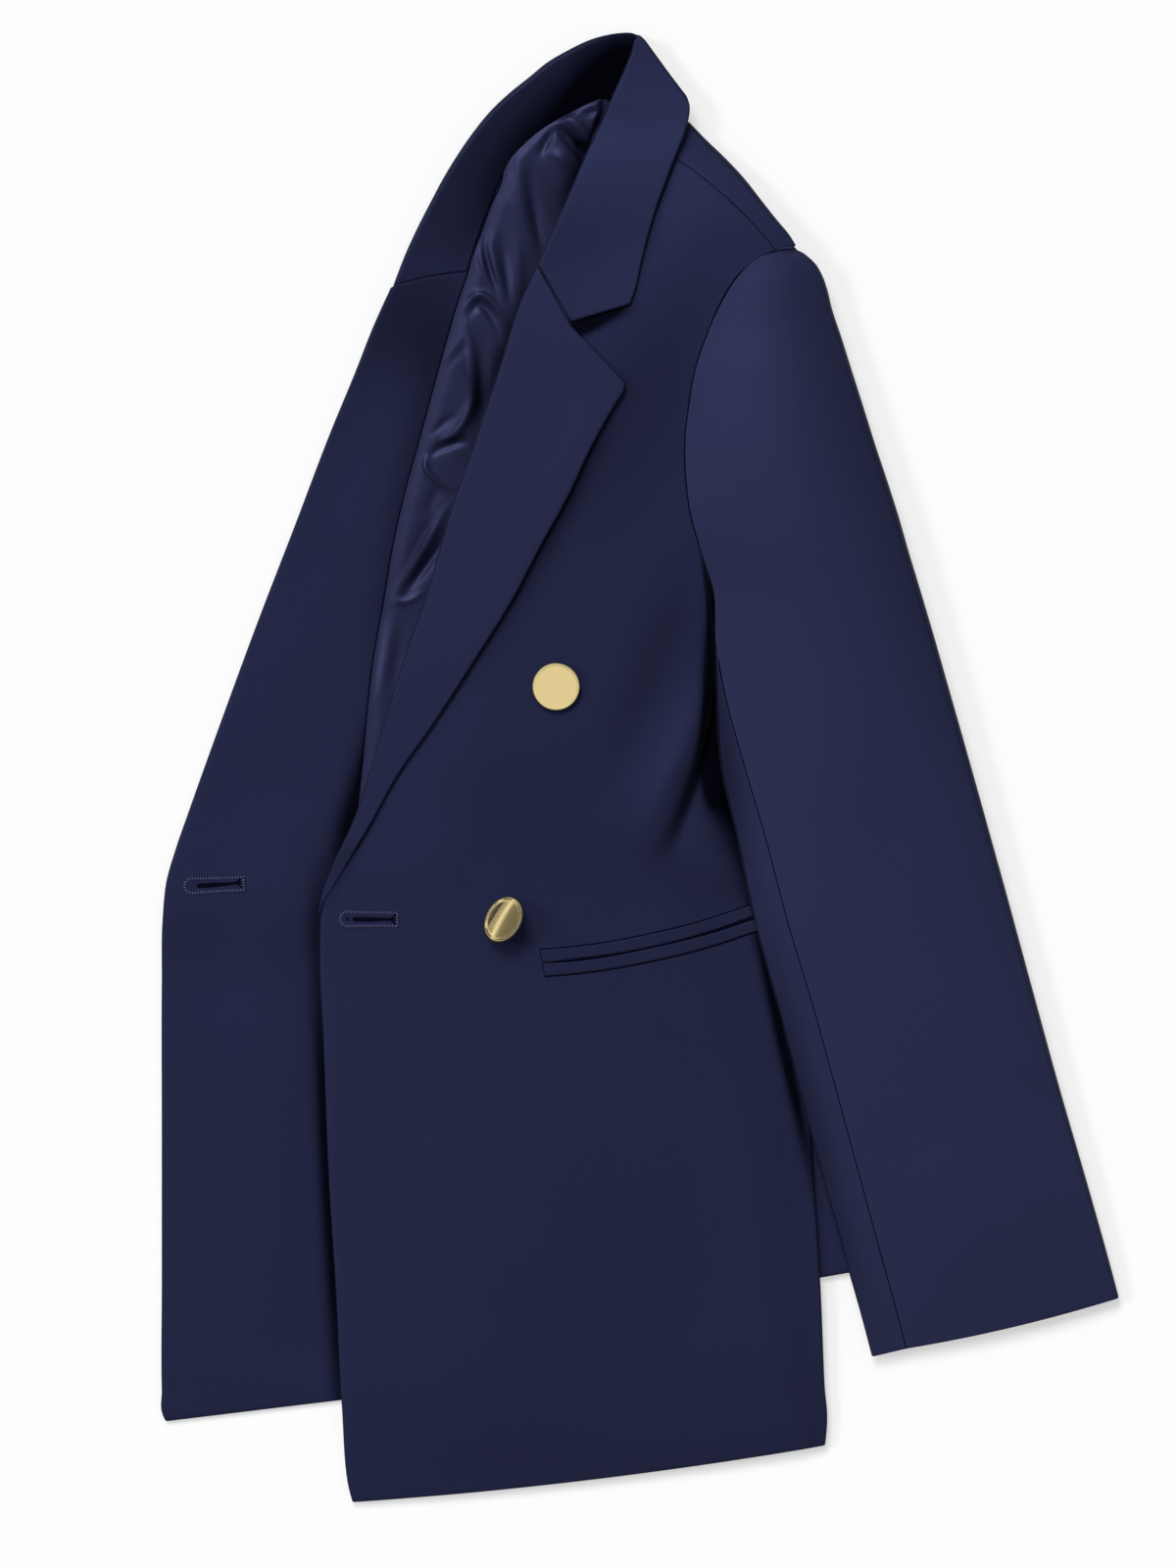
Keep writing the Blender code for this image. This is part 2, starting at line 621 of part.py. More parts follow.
LINING = columns(
    "left_x left_y right_x right_y",
    (-17.6, 374.4, -6.0, 369.5),
    (-28.6, 370.8, -10.0, 358.0),
    (-40.0, 364.6, -15.0, 347.0),
    (-51.0, 359.8, -20.0, 336.0),
    (-62.6, 350.8, -26.0, 322.0),
    (-72.6, 341.2, -32.0, 308.0),
    (-78.2, 329.2, -37.0, 296.0),
    (-83.8, 316.6, -42.5, 284.0),
    (-89.2, 301.6, -48.0, 272.0),
    (-94.6, 287.4, -52.5, 259.0),
    (-97.0, 278.4, -55.5, 250.0),
    (-102.9, 261.0, -61.0, 232.0),
    (-108.5, 242.0, -66.0, 214.0),
    (-116.8, 211.8, -74.5, 188.0),
    (-125.0, 181.5, -82.0, 162.0),
    (-133.3, 151.2, -90.5, 136.0),
    (-139.3, 123.8, -99.0, 111.0),
    (-144.3, 93.5, -107.5, 84.0),
    (-149.8, 63.3, -117.0, 57.0),
    (-153.1, 35.8, -126.0, 31.0),
    (-155.8, 5.5, -136.0, 2.0),
    (-158.5, -20.0, -145.5, -22.0),
)

# Each fold is a ridge from a start to an end through a middle, negative where it is a hollow
FOLDS = columns(
    "start_x start_y mid_x mid_y end_x end_y height half_width",
    (-48.0, 362.0, -40.0, 352.0, -31.0, 344.0, 3.2, 3.6),
    (-56.0, 352.0, -46.0, 340.0, -34.0, 330.0, -1.2, 4.0),
    (-66.0, 346.0, -62.0, 318.0, -57.0, 290.0, 2.6, 3.8),
    (-58.0, 338.0, -54.0, 312.0, -50.0, 292.0, -1.4, 5.0),
    (-90.0, 295.0, -84.0, 273.0, -75.0, 260.0, 2.6, 3.4),
    (-80.0, 300.0, -76.0, 280.0, -72.0, 266.0, 2.0, 3.2),
    (-100.0, 258.0, -90.0, 269.0, -74.0, 254.0, 3.0, 3.4),
    (-94.0, 262.0, -91.0, 230.0, -90.0, 194.0, -1.4, 5.5),
    (-96.0, 256.0, -95.0, 212.0, -116.0, 184.0, 2.8, 3.6),
    (-121.0, 176.0, -124.0, 163.0, -109.0, 158.0, 2.6, 3.2),
    (-118.0, 172.0, -108.0, 178.0, -96.0, 186.0, -1.2, 4.0),
    (-111.0, 146.0, -124.0, 120.0, -136.0, 96.0, 2.6, 3.4),
    (-114.0, 128.0, -122.0, 112.0, -134.0, 94.0, -1.0, 4.0),
    (-138.0, 93.0, -140.0, 80.0, -138.0, 66.0, 1.8, 3.4),
)
LINING_BED = 2.0  # how far the satin lies above the shell between its folds
LINING_UNDER_ROLL = 5.2  # how far it stays below the roll line of the upper half


def ridge(x, y, row):
    """How far each point rises on one fold: a round hump across it that fades at both ends."""
    t = np.linspace(0, 1, 13)[:, None, None]
    path_x = (1 - t) ** 2 * row["start_x"] + 2 * t * (1 - t) * row["mid_x"] + t * t * row["end_x"]
    path_y = (1 - t) ** 2 * row["start_y"] + 2 * t * (1 - t) * row["mid_y"] + t * t * row["end_y"]
    away = np.hypot(x[None] - path_x, y[None] - path_y)
    near = away.min(axis=0)
    fade = np.sin(math.pi * np.clip(t.ravel()[away.argmin(axis=0)], 0.04, 0.96)) ** 0.5
    return row["height"] * fade * np.exp(-((near / row["half_width"]) ** 2))


def lining_face(x, y):
    """The satin's face: a bed just above the shell, with its folds, kept under the roll line."""
    face = shell_face(x, y) + LAYER_GAP + LINING_WALL + LINING_BED
    names = list(FOLDS)
    for values in zip(*FOLDS.values(), strict=True):
        face = face + ridge(x, y, dict(zip(names, values, strict=True)))
    lowest = shell_face(x, y) + LAYER_GAP + LINING_WALL
    ceiling = down(BODY, "edge_z", y) - LINING_UNDER_ROLL
    return np.minimum(np.maximum(face, lowest), np.maximum(ceiling, lowest))


cloth("lining", Panel(LINING, 36).points(lining_face, 10), SATIN, LINING_WALL)

# The strip of back above the shoulder seam, turned under at the outline

BACK = columns(
    "seam_share right_x right_y roll",
    (0.0, 27.0, 362.0, 3.8),
    (0.12, 36.9, 354.3, 5.4),
    (0.26, 47.4, 344.0, 6.4),
    (0.40, 57.8, 332.8, 7.0),
    (0.56, 67.4, 320.4, 7.0),
    (0.73, 76.4, 308.8, 6.8),
    (0.88, 83.6, 299.6, 6.4),
    (1.0, 89.6, 292.0, 5.8),
)


def shoulder_line(share):
    """The seam between front and back: the first row of the left front, a seam's gap away."""
    start, end = left_front.left[0], left_front.right[0]
    way = (end - start) / left_front.width[0]
    across = np.array([-way[1], way[0]])
    out = left_front.bow[0] * 4 * share * (1 - share) + 2 * SEAM_GAP
    return start + (end - start) * share[:, None] + across * out[:, None]


def back_face(x, y):
    """The back's outer face, level with the front at the seam and lower at the outline."""
    seam = shoulder_line(BACK["seam_share"])
    away = np.maximum(y - through(seam[:, 0], seam[:, 1], x), 0.0)
    return front_face(x, y) - 0.1 * away


BACK["left_x"], BACK["left_y"] = shoulder_line(BACK["seam_share"]).T
back = Panel(BACK, 10)
back_points = back.points(back_face, 3, right=(back.read("roll"), 50, 0.6, 1))
cloth("back", back_points, SUITING)

# The left sleeve: the top sleeve from the armhole and the seam on top round the outer line


def part_of(table, first, last=None):
    """Some rows of a table."""
    return {name: values[first:last] for name, values in table.items()}


def inset_left(table, inset):
    """A sleeve table with its left edge moved in along each row."""
    across = np.stack([table["right_x"] - table["left_x"], table["right_y"] - table["left_y"]])
    across = across / np.linalg.norm(across, axis=0) * inset
    moved = dict(table)
    moved["left_x"] = table["left_x"] + across[0]
    moved["left_y"] = table["left_y"] + across[1]
    return moved


def outer_radius(panel):
    """Radius of the tube's outer edge on each row."""
    return (panel.read("outer_top") - panel.read("outer_low")) / 2


ARMHOLE_GAP = 0.5  # the sleeve's half of the gap at the armhole
seam_inset = np.where(
    np.arange(len(SLEEVE["left_y"])) < ARMHOLE_ROWS,
    ARMHOLE_GAP,
    through(-SLEEVE_SEAM["y"], SLEEVE_SEAM["inset"], -SLEEVE["left_y"]) + SEAM_GAP,
)
top_table = inset_left(SLEEVE, seam_inset)
top_table["bow"] = -2.0 * smooth((-200 - SLEEVE["left_y"]) / 130.0)
sleeve_top = Panel(top_table, 26)
outer_round = (outer_radius(sleeve_top), 70, 0.8, 1)
top_points = sleeve_top.points(sleeve_face, 8, right=outer_round)
cloth("left_sleeve_top", top_points, SUITING)

# The under sleeve: from the seam on top over the inner line and along the underside

tube = part_of(SLEEVE, ARMHOLE_ROWS)
tube["bow"] = -2.0 * smooth((-200 - tube["left_y"]) / 130.0)
sleeve_tube = Panel(tube, 17)
full_width = sleeve_tube.width
inner_radius = (
    sleeve_face(sleeve_tube.left[:, 0] + 3, sleeve_tube.left[:, 1])
    - sleeve_floor(sleeve_tube.left[:, 0] + 3, sleeve_tube.left[:, 1])
) / 2
under_leg = full_width - inner_radius - outer_radius(sleeve_tube) - 3.0
seam_from_inner = through(-SLEEVE_SEAM["y"], SLEEVE_SEAM["inset"], -sleeve_tube.left[:, 1])
strip = seam_from_inner - SEAM_GAP
sleeve_tube.right = (
    sleeve_tube.left
    + (sleeve_tube.right - sleeve_tube.left) / full_width[:, None] * strip[:, None]
)
sleeve_tube.width = strip
sleeve_tube.bow = sleeve_tube.bow * 0.0
under_points = sleeve_tube.points(
    sleeve_face, 2, left=(inner_radius, 90, under_leg, 12), under=sleeve_floor
)
cloth("left_sleeve_under", under_points, SUITING)

# The right sleeve's lower part: a flat tube on the surface, under the left half

right_tube = Panel(RIGHT_SLEEVE, 9)
half = RIGHT_SLEEVE_TOP / 2
turns = np.radians([90, 130, 180, 230, 270])
ring_x = np.concatenate([[0.66, 0.33], np.zeros(5), [0.33, 0.66], np.ones(5)])
ring_out = np.concatenate([[0, 0], np.cos(turns), [0, 0], -np.cos(turns)]) * half
ring_z = np.concatenate([[1, 1], np.sin(turns), [-1, -1], -np.sin(turns)]) * half + half
ring_out = ring_out + np.where(ring_x == 0, half, np.where(ring_x == 1, -half, 0.0))
ring_along = right_tube.width[:, None] * ring_x[None] + ring_out[None]
ring_way = (right_tube.right - right_tube.left) / right_tube.width[:, None]
ring_plan = right_tube.left[:, None] + ring_way[:, None] * ring_along[..., None]
ring_height = np.broadcast_to(ring_z[None, :, None], (*ring_along.shape, 1))
tube_points = np.concatenate([ring_plan, ring_height], axis=-1)[:, ::-1]
cloth("right_sleeve", tube_points, SUITING, round_and_round=True)

# The folded backs, hidden between the halves: one rounded solid with layered edges

CORE = columns(
    "left_x left_y right_x right_y",
    (4.0, 349.0, 20.0, 353.0),
    (-4.0, 334.0, 40.0, 336.0),
    (-13.0, 316.0, 58.0, 314.0),
    (-24.0, 296.0, 77.0, 289.0),
    (-35.0, 272.0, 90.0, 268.0),
    (-48.0, 236.0, 104.0, 228.0),
    (-62.0, 192.0, 119.0, 182.0),
    (-80.0, 136.0, 136.0, 124.0),
    (-90.0, 103.0, 140.0, 100.0),
    (-95.0, 92.0, 26.0, 90.0),
    (-106.0, 54.0, 34.0, 50.0),
    (-117.0, 20.0, 34.0, 20.0),
    (-130.0, -20.0, 32.0, -20.0),
    (-145.0, -60.0, 38.0, -62.0),
    (-152.0, -100.0, 46.0, -104.0),
    (-152.0, -160.0, 54.0, -165.0),
    (-149.0, -228.0, 60.0, -228.0),
    (-146.0, -280.0, 70.0, -284.0),
    (-144.0, -320.0, 96.0, -312.0),
    (-145.0, -352.0, 98.0, -345.0),
    (-150.0, -372.0, 99.0, -362.0),
    (-156.0, -401.0, 99.0, -371.0),
    (-156.5, -408.0, 98.5, -376.5),
)
CORE_CLEAR = 1.1
LAYERS = 3
LAYER_BULGE = 1.3


def core_top(x, y):
    """Top of the hidden layers: a wall and a gap below the lowest cloth near each point."""
    return spread_of(upper_face, x, y, np.min, 9.0) - WALL - CORE_CLEAR


def layered_core(table, rings, top_steps):
    """Sections across the fold: flat below, layers bulging at both sides, the top under cloth."""
    panel = Panel(table, rings)
    share = np.linspace(1, 0, top_steps)
    places = panel.width[:, None] * share[None]
    way = (panel.right - panel.left) / panel.width[:, None]
    plan = panel.left[:, None] + way[:, None] * places[..., None]
    top = np.maximum(core_top(plan[..., 0], plan[..., 1]), 1.2)
    bulges = np.array([s for k in range(LAYERS) for s in (k + 0.08, k + 0.5, k + 0.92)]) / LAYERS
    out = np.tile([0.0, LAYER_BULGE, 0.0], LAYERS)
    rings_of = []
    for edge, sign, level in (("right", 1, top[:, :1]), ("left", -1, top[:, -1:])):
        base = getattr(panel, edge)[:, None] + way[:, None] * (sign * out)[None, :, None]
        side = np.concatenate([base, (level * bulges[None])[..., None]], axis=-1)
        rings_of.append(side if sign > 0 else side[:, ::-1])
    inner = np.concatenate([plan, top[..., None]], axis=-1)[:, 1:-1]
    foot_right = np.concatenate([panel.right, np.zeros((len(top), 1))], axis=1)[:, None]
    foot_left = np.concatenate([panel.left, np.zeros((len(top), 1))], axis=1)[:, None]
    return np.concatenate([foot_right, rings_of[0], inner, rings_of[1], foot_left], axis=1)


core_points = layered_core(CORE, 28, 16)
core_mesh = grid_mesh("folded_layers", core_points[:, ::-1], round_and_round=True)
shape = bmesh.new()
shape.from_mesh(core_mesh)
bmesh.ops.holes_fill(shape, edges=[e for e in shape.edges if e.is_boundary], sides=0)
bmesh.ops.triangulate(shape, faces=[f for f in shape.faces if len(f.verts) > 4])
bmesh.ops.recalc_face_normals(shape, faces=shape.faces)
shape.to_mesh(core_mesh)
shape.free()
keep("folded_layers", core_mesh, SUITING_INSIDE)

# The jetted pocket: two welts with a slit between them, set in the left front

POCKET = columns(
    "x slit_y",
    (-54.6, -108.6),
    (-33.6, -106.7),
    (-14.3, -104.0),
    (5.0, -100.2),
    (24.8, -95.6),
    (44.0, -90.2),
    (61.0, -84.4),
)
SLIT_HALF = 0.5
WELT_ROLL = 0.8
WELT_WALL = 0.75
WELT_STANDS = 1.6  # above the front's face
WELT_END_SLANT = -0.12


def welt_face(x, y):
    """A welt's outer face, standing just proud of the front."""
    return spread_of(front_face, x, y, np.max, 2.0) + WELT_STANDS


def welt_table(low, high, end_slant):
    """Rows along the pocket for the strip between two distances from the slit."""
    x, y = POCKET["x"], POCKET["slit_y"]
    slope = np.gradient(y, x)
    length = np.sqrt(1 + slope**2)
    lean = np.zeros(len(x))
    lean[0] = end_slant
    return {
        "left_x": x - slope / length * low + lean * low,
        "left_y": y + low / length,
        "right_x": x - slope / length * high + lean * high,
        "right_y": y + high / length,
    }


for name, low, high in (
    ("pocket_welt_upper", SLIT_HALF, WELT_WIDTH),
    ("pocket_welt_lower", -WELT_WIDTH, -SLIT_HALF),
):
    welt = Panel(welt_table(low, high, WELT_END_SLANT), 9)
    rounded = (WELT_ROLL, 5, 0.2, 1)
    cloth(name, welt.points(welt_face, 1, left=rounded, right=rounded), SUITING, WELT_WALL)

# Two metal buttons with plain faces, each a turned disc on its shank


def button(name, x, y, rise, lean_deg, lean_towards_deg, shank):
    """A turned disc: flat face, fine raised rim, rounded back and a shank down to the cloth."""
    radius, half = BUTTON_DIAMETER / 2, BUTTON_THICKNESS / 2
    profile = (
        (0.0, half - 0.35),
        (radius - 2.4, half - 0.35),
        (radius - 1.5, half),
        (radius - 0.5, half - 0.1),
        (radius, half - 0.7),
        (radius, -half + 0.8),
        (radius - 1.2, -half),
        (3.2, -half - 0.3),
        (2.0, -half - 1.0),
        (2.0, -half - shank),
        (0.0, -half - shank),
    )
    mesh = bpy.data.meshes.new(name)
    points = [(r * MM, 0.0, z * MM) for r, z in profile]
    mesh.from_pydata(points, [(i, i + 1) for i in range(len(points) - 1)], [])
    piece = keep(name, mesh, GOLD)
    turn = piece.modifiers.new("Turn", "SCREW")
    turn.axis = "Z"
    turn.steps = turn.render_steps = 24
    turn.use_merge_vertices = True
    turn.merge_threshold = 0.00001
    height = float(front_face(np.array(x), np.array(y)))
    piece.location = (x * MM, y * MM, (height + rise) * MM)
    towards = math.radians(lean_towards_deg)
    tip = (math.cos(towards), math.sin(towards), 0.0)
    axis = (-tip[1], tip[0], 0.0)
    piece.rotation_mode = "AXIS_ANGLE"
    piece.rotation_axis_angle = (math.radians(lean_deg), *axis)
    return piece


button("button_upper", -47.0, 46.2, 3.4, 3.0, 250.0, 1.8)
button("button_lower", -76.2, -84.2, 8.9, 35.0, 160.0, 6.6)

# Keyhole buttonholes: the raised edging round each slit


def buttonhole(name, eye_x, eye_y, bar_x, bar_y, face):
    """A purl edge round an eye and a slit that runs from it to the bar."""
    eye_radius, slit_half, purl = 3.1, 1.9, 0.65
    length = math.hypot(bar_x - eye_x, bar_y - eye_y)
    way = math.atan2(bar_y - eye_y, bar_x - eye_x)
    opening = math.asin(slit_half / eye_radius)
    angles = np.linspace(opening, 2 * math.pi - opening, 12)
    line = [(eye_radius * math.cos(a), eye_radius * math.sin(a)) for a in angles]
    line += [(length * s, -slit_half) for s in (0.35, 0.6, 0.85)]
    line += [(length, -slit_half * 0.6), (length, slit_half * 0.6)]
    line += [(length * s, slit_half) for s in (0.85, 0.6, 0.35)]
    curve = bpy.data.curves.new(name, "CURVE")
    curve.dimensions = "3D"
    curve.bevel_depth = purl * MM
    curve.bevel_resolution = 1
    spline = curve.splines.new("POLY")
    spline.points.add(len(line) - 1)
    spline.use_cyclic_u = True
    for point, (u, v) in zip(spline.points, line, strict=True):
        x = eye_x + u * math.cos(way) - v * math.sin(way)
        y = eye_y + u * math.sin(way) + v * math.cos(way)
        z = float(spread_of(face, np.array(x), np.array(y), np.max, 1.0)) + purl + 0.3
        point.co = (x * MM, y * MM, z * MM, 1.0)
    piece = bpy.data.objects.new(name, curve)
    curve.materials.append(THREAD)
    blazer.objects.link(piece)


buttonhole("buttonhole_left", -163.6, -84.2, -136.0, -84.4, front_face)
buttonhole("buttonhole_right", -251.2, -65.6, -222.6, -64.4, under_face)
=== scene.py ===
"""The looks of a double breasted blazer, folded in half along its back and laid flat.

Tables are in millimetres, in the frame's own axes: x towards the sleeve, y towards the collar,
z up from the surface. Each piece of cloth is a wall of its own with round edges.
"""

import math

import bpy
import numpy as np
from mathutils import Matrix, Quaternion, Vector


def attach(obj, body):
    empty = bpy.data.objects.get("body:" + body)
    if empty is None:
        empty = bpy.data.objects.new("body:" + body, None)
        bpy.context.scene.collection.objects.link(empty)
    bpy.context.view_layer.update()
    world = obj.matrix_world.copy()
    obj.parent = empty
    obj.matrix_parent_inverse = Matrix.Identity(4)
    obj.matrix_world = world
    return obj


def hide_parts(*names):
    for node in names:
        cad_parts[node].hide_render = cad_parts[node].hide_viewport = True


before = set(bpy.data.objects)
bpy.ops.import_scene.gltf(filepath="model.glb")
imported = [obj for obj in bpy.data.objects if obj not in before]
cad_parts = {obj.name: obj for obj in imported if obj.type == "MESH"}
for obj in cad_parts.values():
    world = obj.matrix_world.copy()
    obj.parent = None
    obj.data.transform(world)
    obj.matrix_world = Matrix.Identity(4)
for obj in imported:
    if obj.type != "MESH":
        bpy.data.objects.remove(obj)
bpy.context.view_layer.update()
MM = 0.001
scene = bpy.context.scene

# The studio: a plain white sheet on a table, seen from straight above through a long lens. The
# light is broad and soft, from above the upper left corner, and the walls of the room are dim.

VIEW_CENTRE = (-29.15, -8.25)
VIEW_HEIGHT = 880.0
VIEW_LEVEL = 12.0
CAMERA_RISE = 4000.0
SHEET_DROP = 0.2
SHEET_SIDE = 14.0
SHEET_WHITE = 0.36
SHEET_GLOW = 0.515
SHEET_SENDS = (0.30, 0.30, 0.31, 1.0)

scene.view_settings.view_transform = "Standard"
camera_data = bpy.data.cameras.new("camera")
camera_data.sensor_fit = "VERTICAL"
camera_data.sensor_height = 36.0
camera_data.lens = camera_data.sensor_height * CAMERA_RISE / VIEW_HEIGHT
camera = bpy.data.objects.new("camera", camera_data)
camera.location = (VIEW_CENTRE[0] * MM, VIEW_CENTRE[1] * MM, (VIEW_LEVEL + CAMERA_RISE) * MM)
scene.collection.objects.link(camera)
scene.camera = camera


def node(tree, kind, settings=None, **links):
    """A node of a tree: settings are its properties, and links feed its inputs by name."""
    made = tree.nodes.new(kind)
    for key, value in (settings or {}).items():
        setattr(made, key, value)
    for key, value in links.items():
        socket = made.inputs[int(key[1:])] if key[0] == "i" and key[1:].isdigit() else made.inputs[key]
        if isinstance(value, bpy.types.NodeSocket):
            tree.links.new(value, socket)
        else:
            socket.default_value = value
    return made


def sums(tree, operation, a, b):
    """One step of arithmetic between sockets or numbers."""
    return node(tree, "ShaderNodeMath", {"operation": operation}, i0=a, i1=b).outputs[0]


def principled(name, values):
    """A new material, its node tree, and its Principled shader with plain values on its sockets."""
    made = bpy.data.materials.new(name)
    made.use_nodes = True
    shader = made.node_tree.nodes["Principled BSDF"]
    for socket, value in values.items():
        shader.inputs[socket].default_value = value
    return made, made.node_tree, shader


def split_by_ray(tree, shown, sent, output):
    """One shader for what is seen of a surface, and another for the light that it sends on."""
    seen = node(tree, "ShaderNodeLightPath").outputs["Is Camera Ray"]
    mixed = node(tree, "ShaderNodeMixShader", {}, i0=seen, i1=sent.outputs[0], i2=shown.outputs[0])
    tree.links.new(mixed.outputs[0], tree.nodes[output].inputs["Surface"])


# The sheet is white to the eye, and sends less light back to the cloth than it shows.
sheet_white, sheet_tree, sheet_shader = principled(
    "white_sheet",
    {
        "Base Color": (SHEET_WHITE, SHEET_WHITE, SHEET_WHITE, 1.0),
        "Roughness": 0.9,
        "Specular IOR Level": 0.0,
        "Emission Color": (1.0, 1.0, 1.0, 1.0),
        "Emission Strength": SHEET_GLOW,
    },
)
dim = node(sheet_tree, "ShaderNodeBsdfDiffuse", {}, Color=SHEET_SENDS)
split_by_ray(sheet_tree, sheet_shader, dim, "Material Output")

floor_mesh = bpy.data.meshes.new("sheet")
side = SHEET_SIDE / 2
corners = ((-side, -side), (side, -side), (side, side), (-side, side))
floor_mesh.from_pydata([(x, y, -SHEET_DROP * MM) for x, y in corners], [], [(0, 1, 2, 3)])
floor_mesh.materials.append(sheet_white)
floor = bpy.data.objects.new("sheet", floor_mesh)
scene.collection.objects.link(floor)

# Brightness of the room by the sine of the height above the horizon: a bright foot, walls that
# darken upwards, and a pale ceiling
ROOM_TINT = (1.0, 1.0, 1.02)
ROOM_SHOWN = (0.93, 0.94, 0.96, 1.0)
ROOM = (
    (0, 1.1),
    (0.03, 1),
    (0.05, 0.24),
    (0.20, 0.16),
    (0.33, 0.10),
    (0.42, 0.36),
    (0.88, 0.42),
    (0.955, 0.86),
)

room = bpy.data.worlds.new("room")
room.use_nodes = True
sky = room.node_tree
shown = sky.nodes["Background"]
shown.inputs["Color"].default_value = ROOM_SHOWN
towards = node(sky, "ShaderNodeTexCoord").outputs["Object"]
rise = node(sky, "ShaderNodeSeparateXYZ", i0=towards).outputs[2]
walls = node(sky, "ShaderNodeValToRGB", Fac=rise)
stops = walls.color_ramp.elements
for place, bright in ROOM[1:-1]:
    stops.new(place)
for stop, (place, bright) in zip(stops, ROOM, strict=True):
    stop.position = place
    stop.color = (*(bright * part for part in ROOM_TINT), 1.0)
lit = node(sky, "ShaderNodeBackground", {}, Color=walls.outputs[0])
split_by_ray(sky, shown, lit, "World Output")
scene.world = room

# Name, place in metres, strength, size, and turn about its own axis in degrees
LIGHTS = (
    ("key", (-0.22, 0.55, 0.81), 2.5, 26.0, 0.0),
    ("fill", (-0.72, 0.12, 0.70), 1.08, 12.0, 0.0),
    ("strip", (-2.72, 0.92, 0.80), 2.0, (2.4, 0.20), -6.0),
)


def soft_light(name, place, power, size, roll):
    """A light that faces the blazer.

    size is a panel's width and height in metres, or how wide a far light looks, in degrees.
    """
    panel = isinstance(size, tuple)
    data = bpy.data.lights.new(name, "AREA" if panel else "SUN")
    data.energy = power
    if panel:
        data.shape = "RECTANGLE"
        data.size, data.size_y = size
    else:
        data.angle = math.radians(size)
    light = bpy.data.objects.new(name, data)
    light.location = place
    turn = (-Vector(place)).to_track_quat("-Z", "Y") @ Quaternion((0.0, 0.0, 1.0), math.radians(roll))
    light.rotation_euler = turn.to_euler()
    scene.collection.objects.link(light)


for row in LIGHTS:
    soft_light(*row)

# The suiting: a smooth navy wool in a fine twill. Its threads are a shared group of nodes that
# reads each piece's own grain map, in metres along and across the cloth.


def noise(tree, place, scale, detail=2.0):
    """Smooth noise of 0 to 1, with scale as its ups and downs in a metre."""
    made = node(tree, "ShaderNodeTexNoise", {}, Vector=place, Scale=scale, Detail=detail)
    return made.outputs[0]


def sloped(tree, value, slope, start):
    """A straight line: start plus slope times the value."""
    return sums(tree, "ADD", sums(tree, "MULTIPLY", value, slope), start)


def scaled(tree, colour, by):
    """A colour made brighter or darker."""
    made = node(tree, "ShaderNodeVectorMath", {"operation": "SCALE"}, i0=colour, Scale=by)
    return made.outputs[0]


def bumped(tree, shader, height, relief, strength=1.0):
    """Fine relief: a height of one stands for that many metres."""
    made = node(tree, "ShaderNodeBump", {}, Strength=strength, Distance=relief, Height=height)
    tree.links.new(made.outputs[0], shader.inputs["Normal"])


def new_group(name, takes, gives):
    """A node group with float inputs (name, value) and outputs (name, socket type)."""
    group = bpy.data.node_groups.new(name, "ShaderNodeTree")
    for label, value in takes:
        socket = group.interface.new_socket(label, in_out="INPUT", socket_type="NodeSocketFloat")
        socket.default_value = value
    for label, kind in gives:
        group.interface.new_socket(label, in_out="OUTPUT", socket_type=kind)
    return group, group.nodes.new("NodeGroupInput"), group.nodes.new("NodeGroupOutput")


TWILL_PITCH = 0.0006


def twill_group():
    """Threads in metres: diagonal ribs at a pitch, broken by slubs, and slow uneven dye."""
    group, taken, given = new_group(
        "twill",
        (("Pitch", TWILL_PITCH), ("Slub", 0.5), ("Dye", 0.12)),
        (("Shade", "NodeSocketFloat"), ("Height", "NodeSocketFloat")),
    )
    grain = node(group, "ShaderNodeUVMap", {"uv_map": "grain"}).outputs[0]
    part = node(group, "ShaderNodeSeparateXYZ", i0=grain)
    across = sums(group, "DIVIDE", sums(group, "ADD", part.outputs[0], part.outputs[1]), taken.outputs[0])
    rib = sums(group, "SINE", sums(group, "MULTIPLY", across, 2 * math.pi), 0.0)
    slub = noise(group, grain, 1500.0)
    broken = sums(group, "MULTIPLY", sums(group, "SUBTRACT", slub, 0.5), taken.outputs[1])
    height = sloped(group, rib, 0.5, sums(group, "MULTIPLY", broken, 2.0))
    cloudy = noise(group, grain, 9.0, 3.0)
    dye = sums(group, "MULTIPLY", sums(group, "SUBTRACT", cloudy, 0.5), taken.outputs[2])
    shade = sloped(group, height, 0.05, sums(group, "MULTIPLY", dye, 2.0))
    group.links.new(sums(group, "ADD", shade, 1.0), given.inputs[0])
    group.links.new(height, given.inputs[1])
    return group


TWILL = twill_group()


def painted_shade_nodes():
    """Painted shade: the colour darkened and the shine dulled where the point attribute of painted shade
    runs from 0 to 1.
    """
    group, taken, given = new_group(
        "painted_shade",
        (("Darkens", 0.93), ("Dulls", 0.90)),
        (("Kept", "NodeSocketFloat"), ("Dull", "NodeSocketFloat")),
    )
    shade_amount = node(group, "ShaderNodeAttribute", {"attribute_name": "shade_amount"}).outputs["Fac"]
    darker = sums(group, "MULTIPLY", shade_amount, taken.outputs["Darkens"])
    group.links.new(sums(group, "SUBTRACT", 1.0, darker), given.inputs["Kept"])
    group.links.new(sums(group, "MULTIPLY", shade_amount, taken.outputs["Dulls"]), given.inputs["Dull"])
    return group


PAINTED_SHADE_GROUP = painted_shade_nodes()
TWILL_SPECULAR = 0.27
TWILL_RELIEF = 0.00002
TWILL_ROUGHNESS = 0.50
CLOTH_GLOSS = {
    "Specular Tint": (0.29, 0.35, 1.0, 1.0),
    "Sheen Weight": 0.05,
    "Sheen Roughness": 0.45,
    "Sheen Tint": (0.30, 0.34, 0.62, 1.0),
}


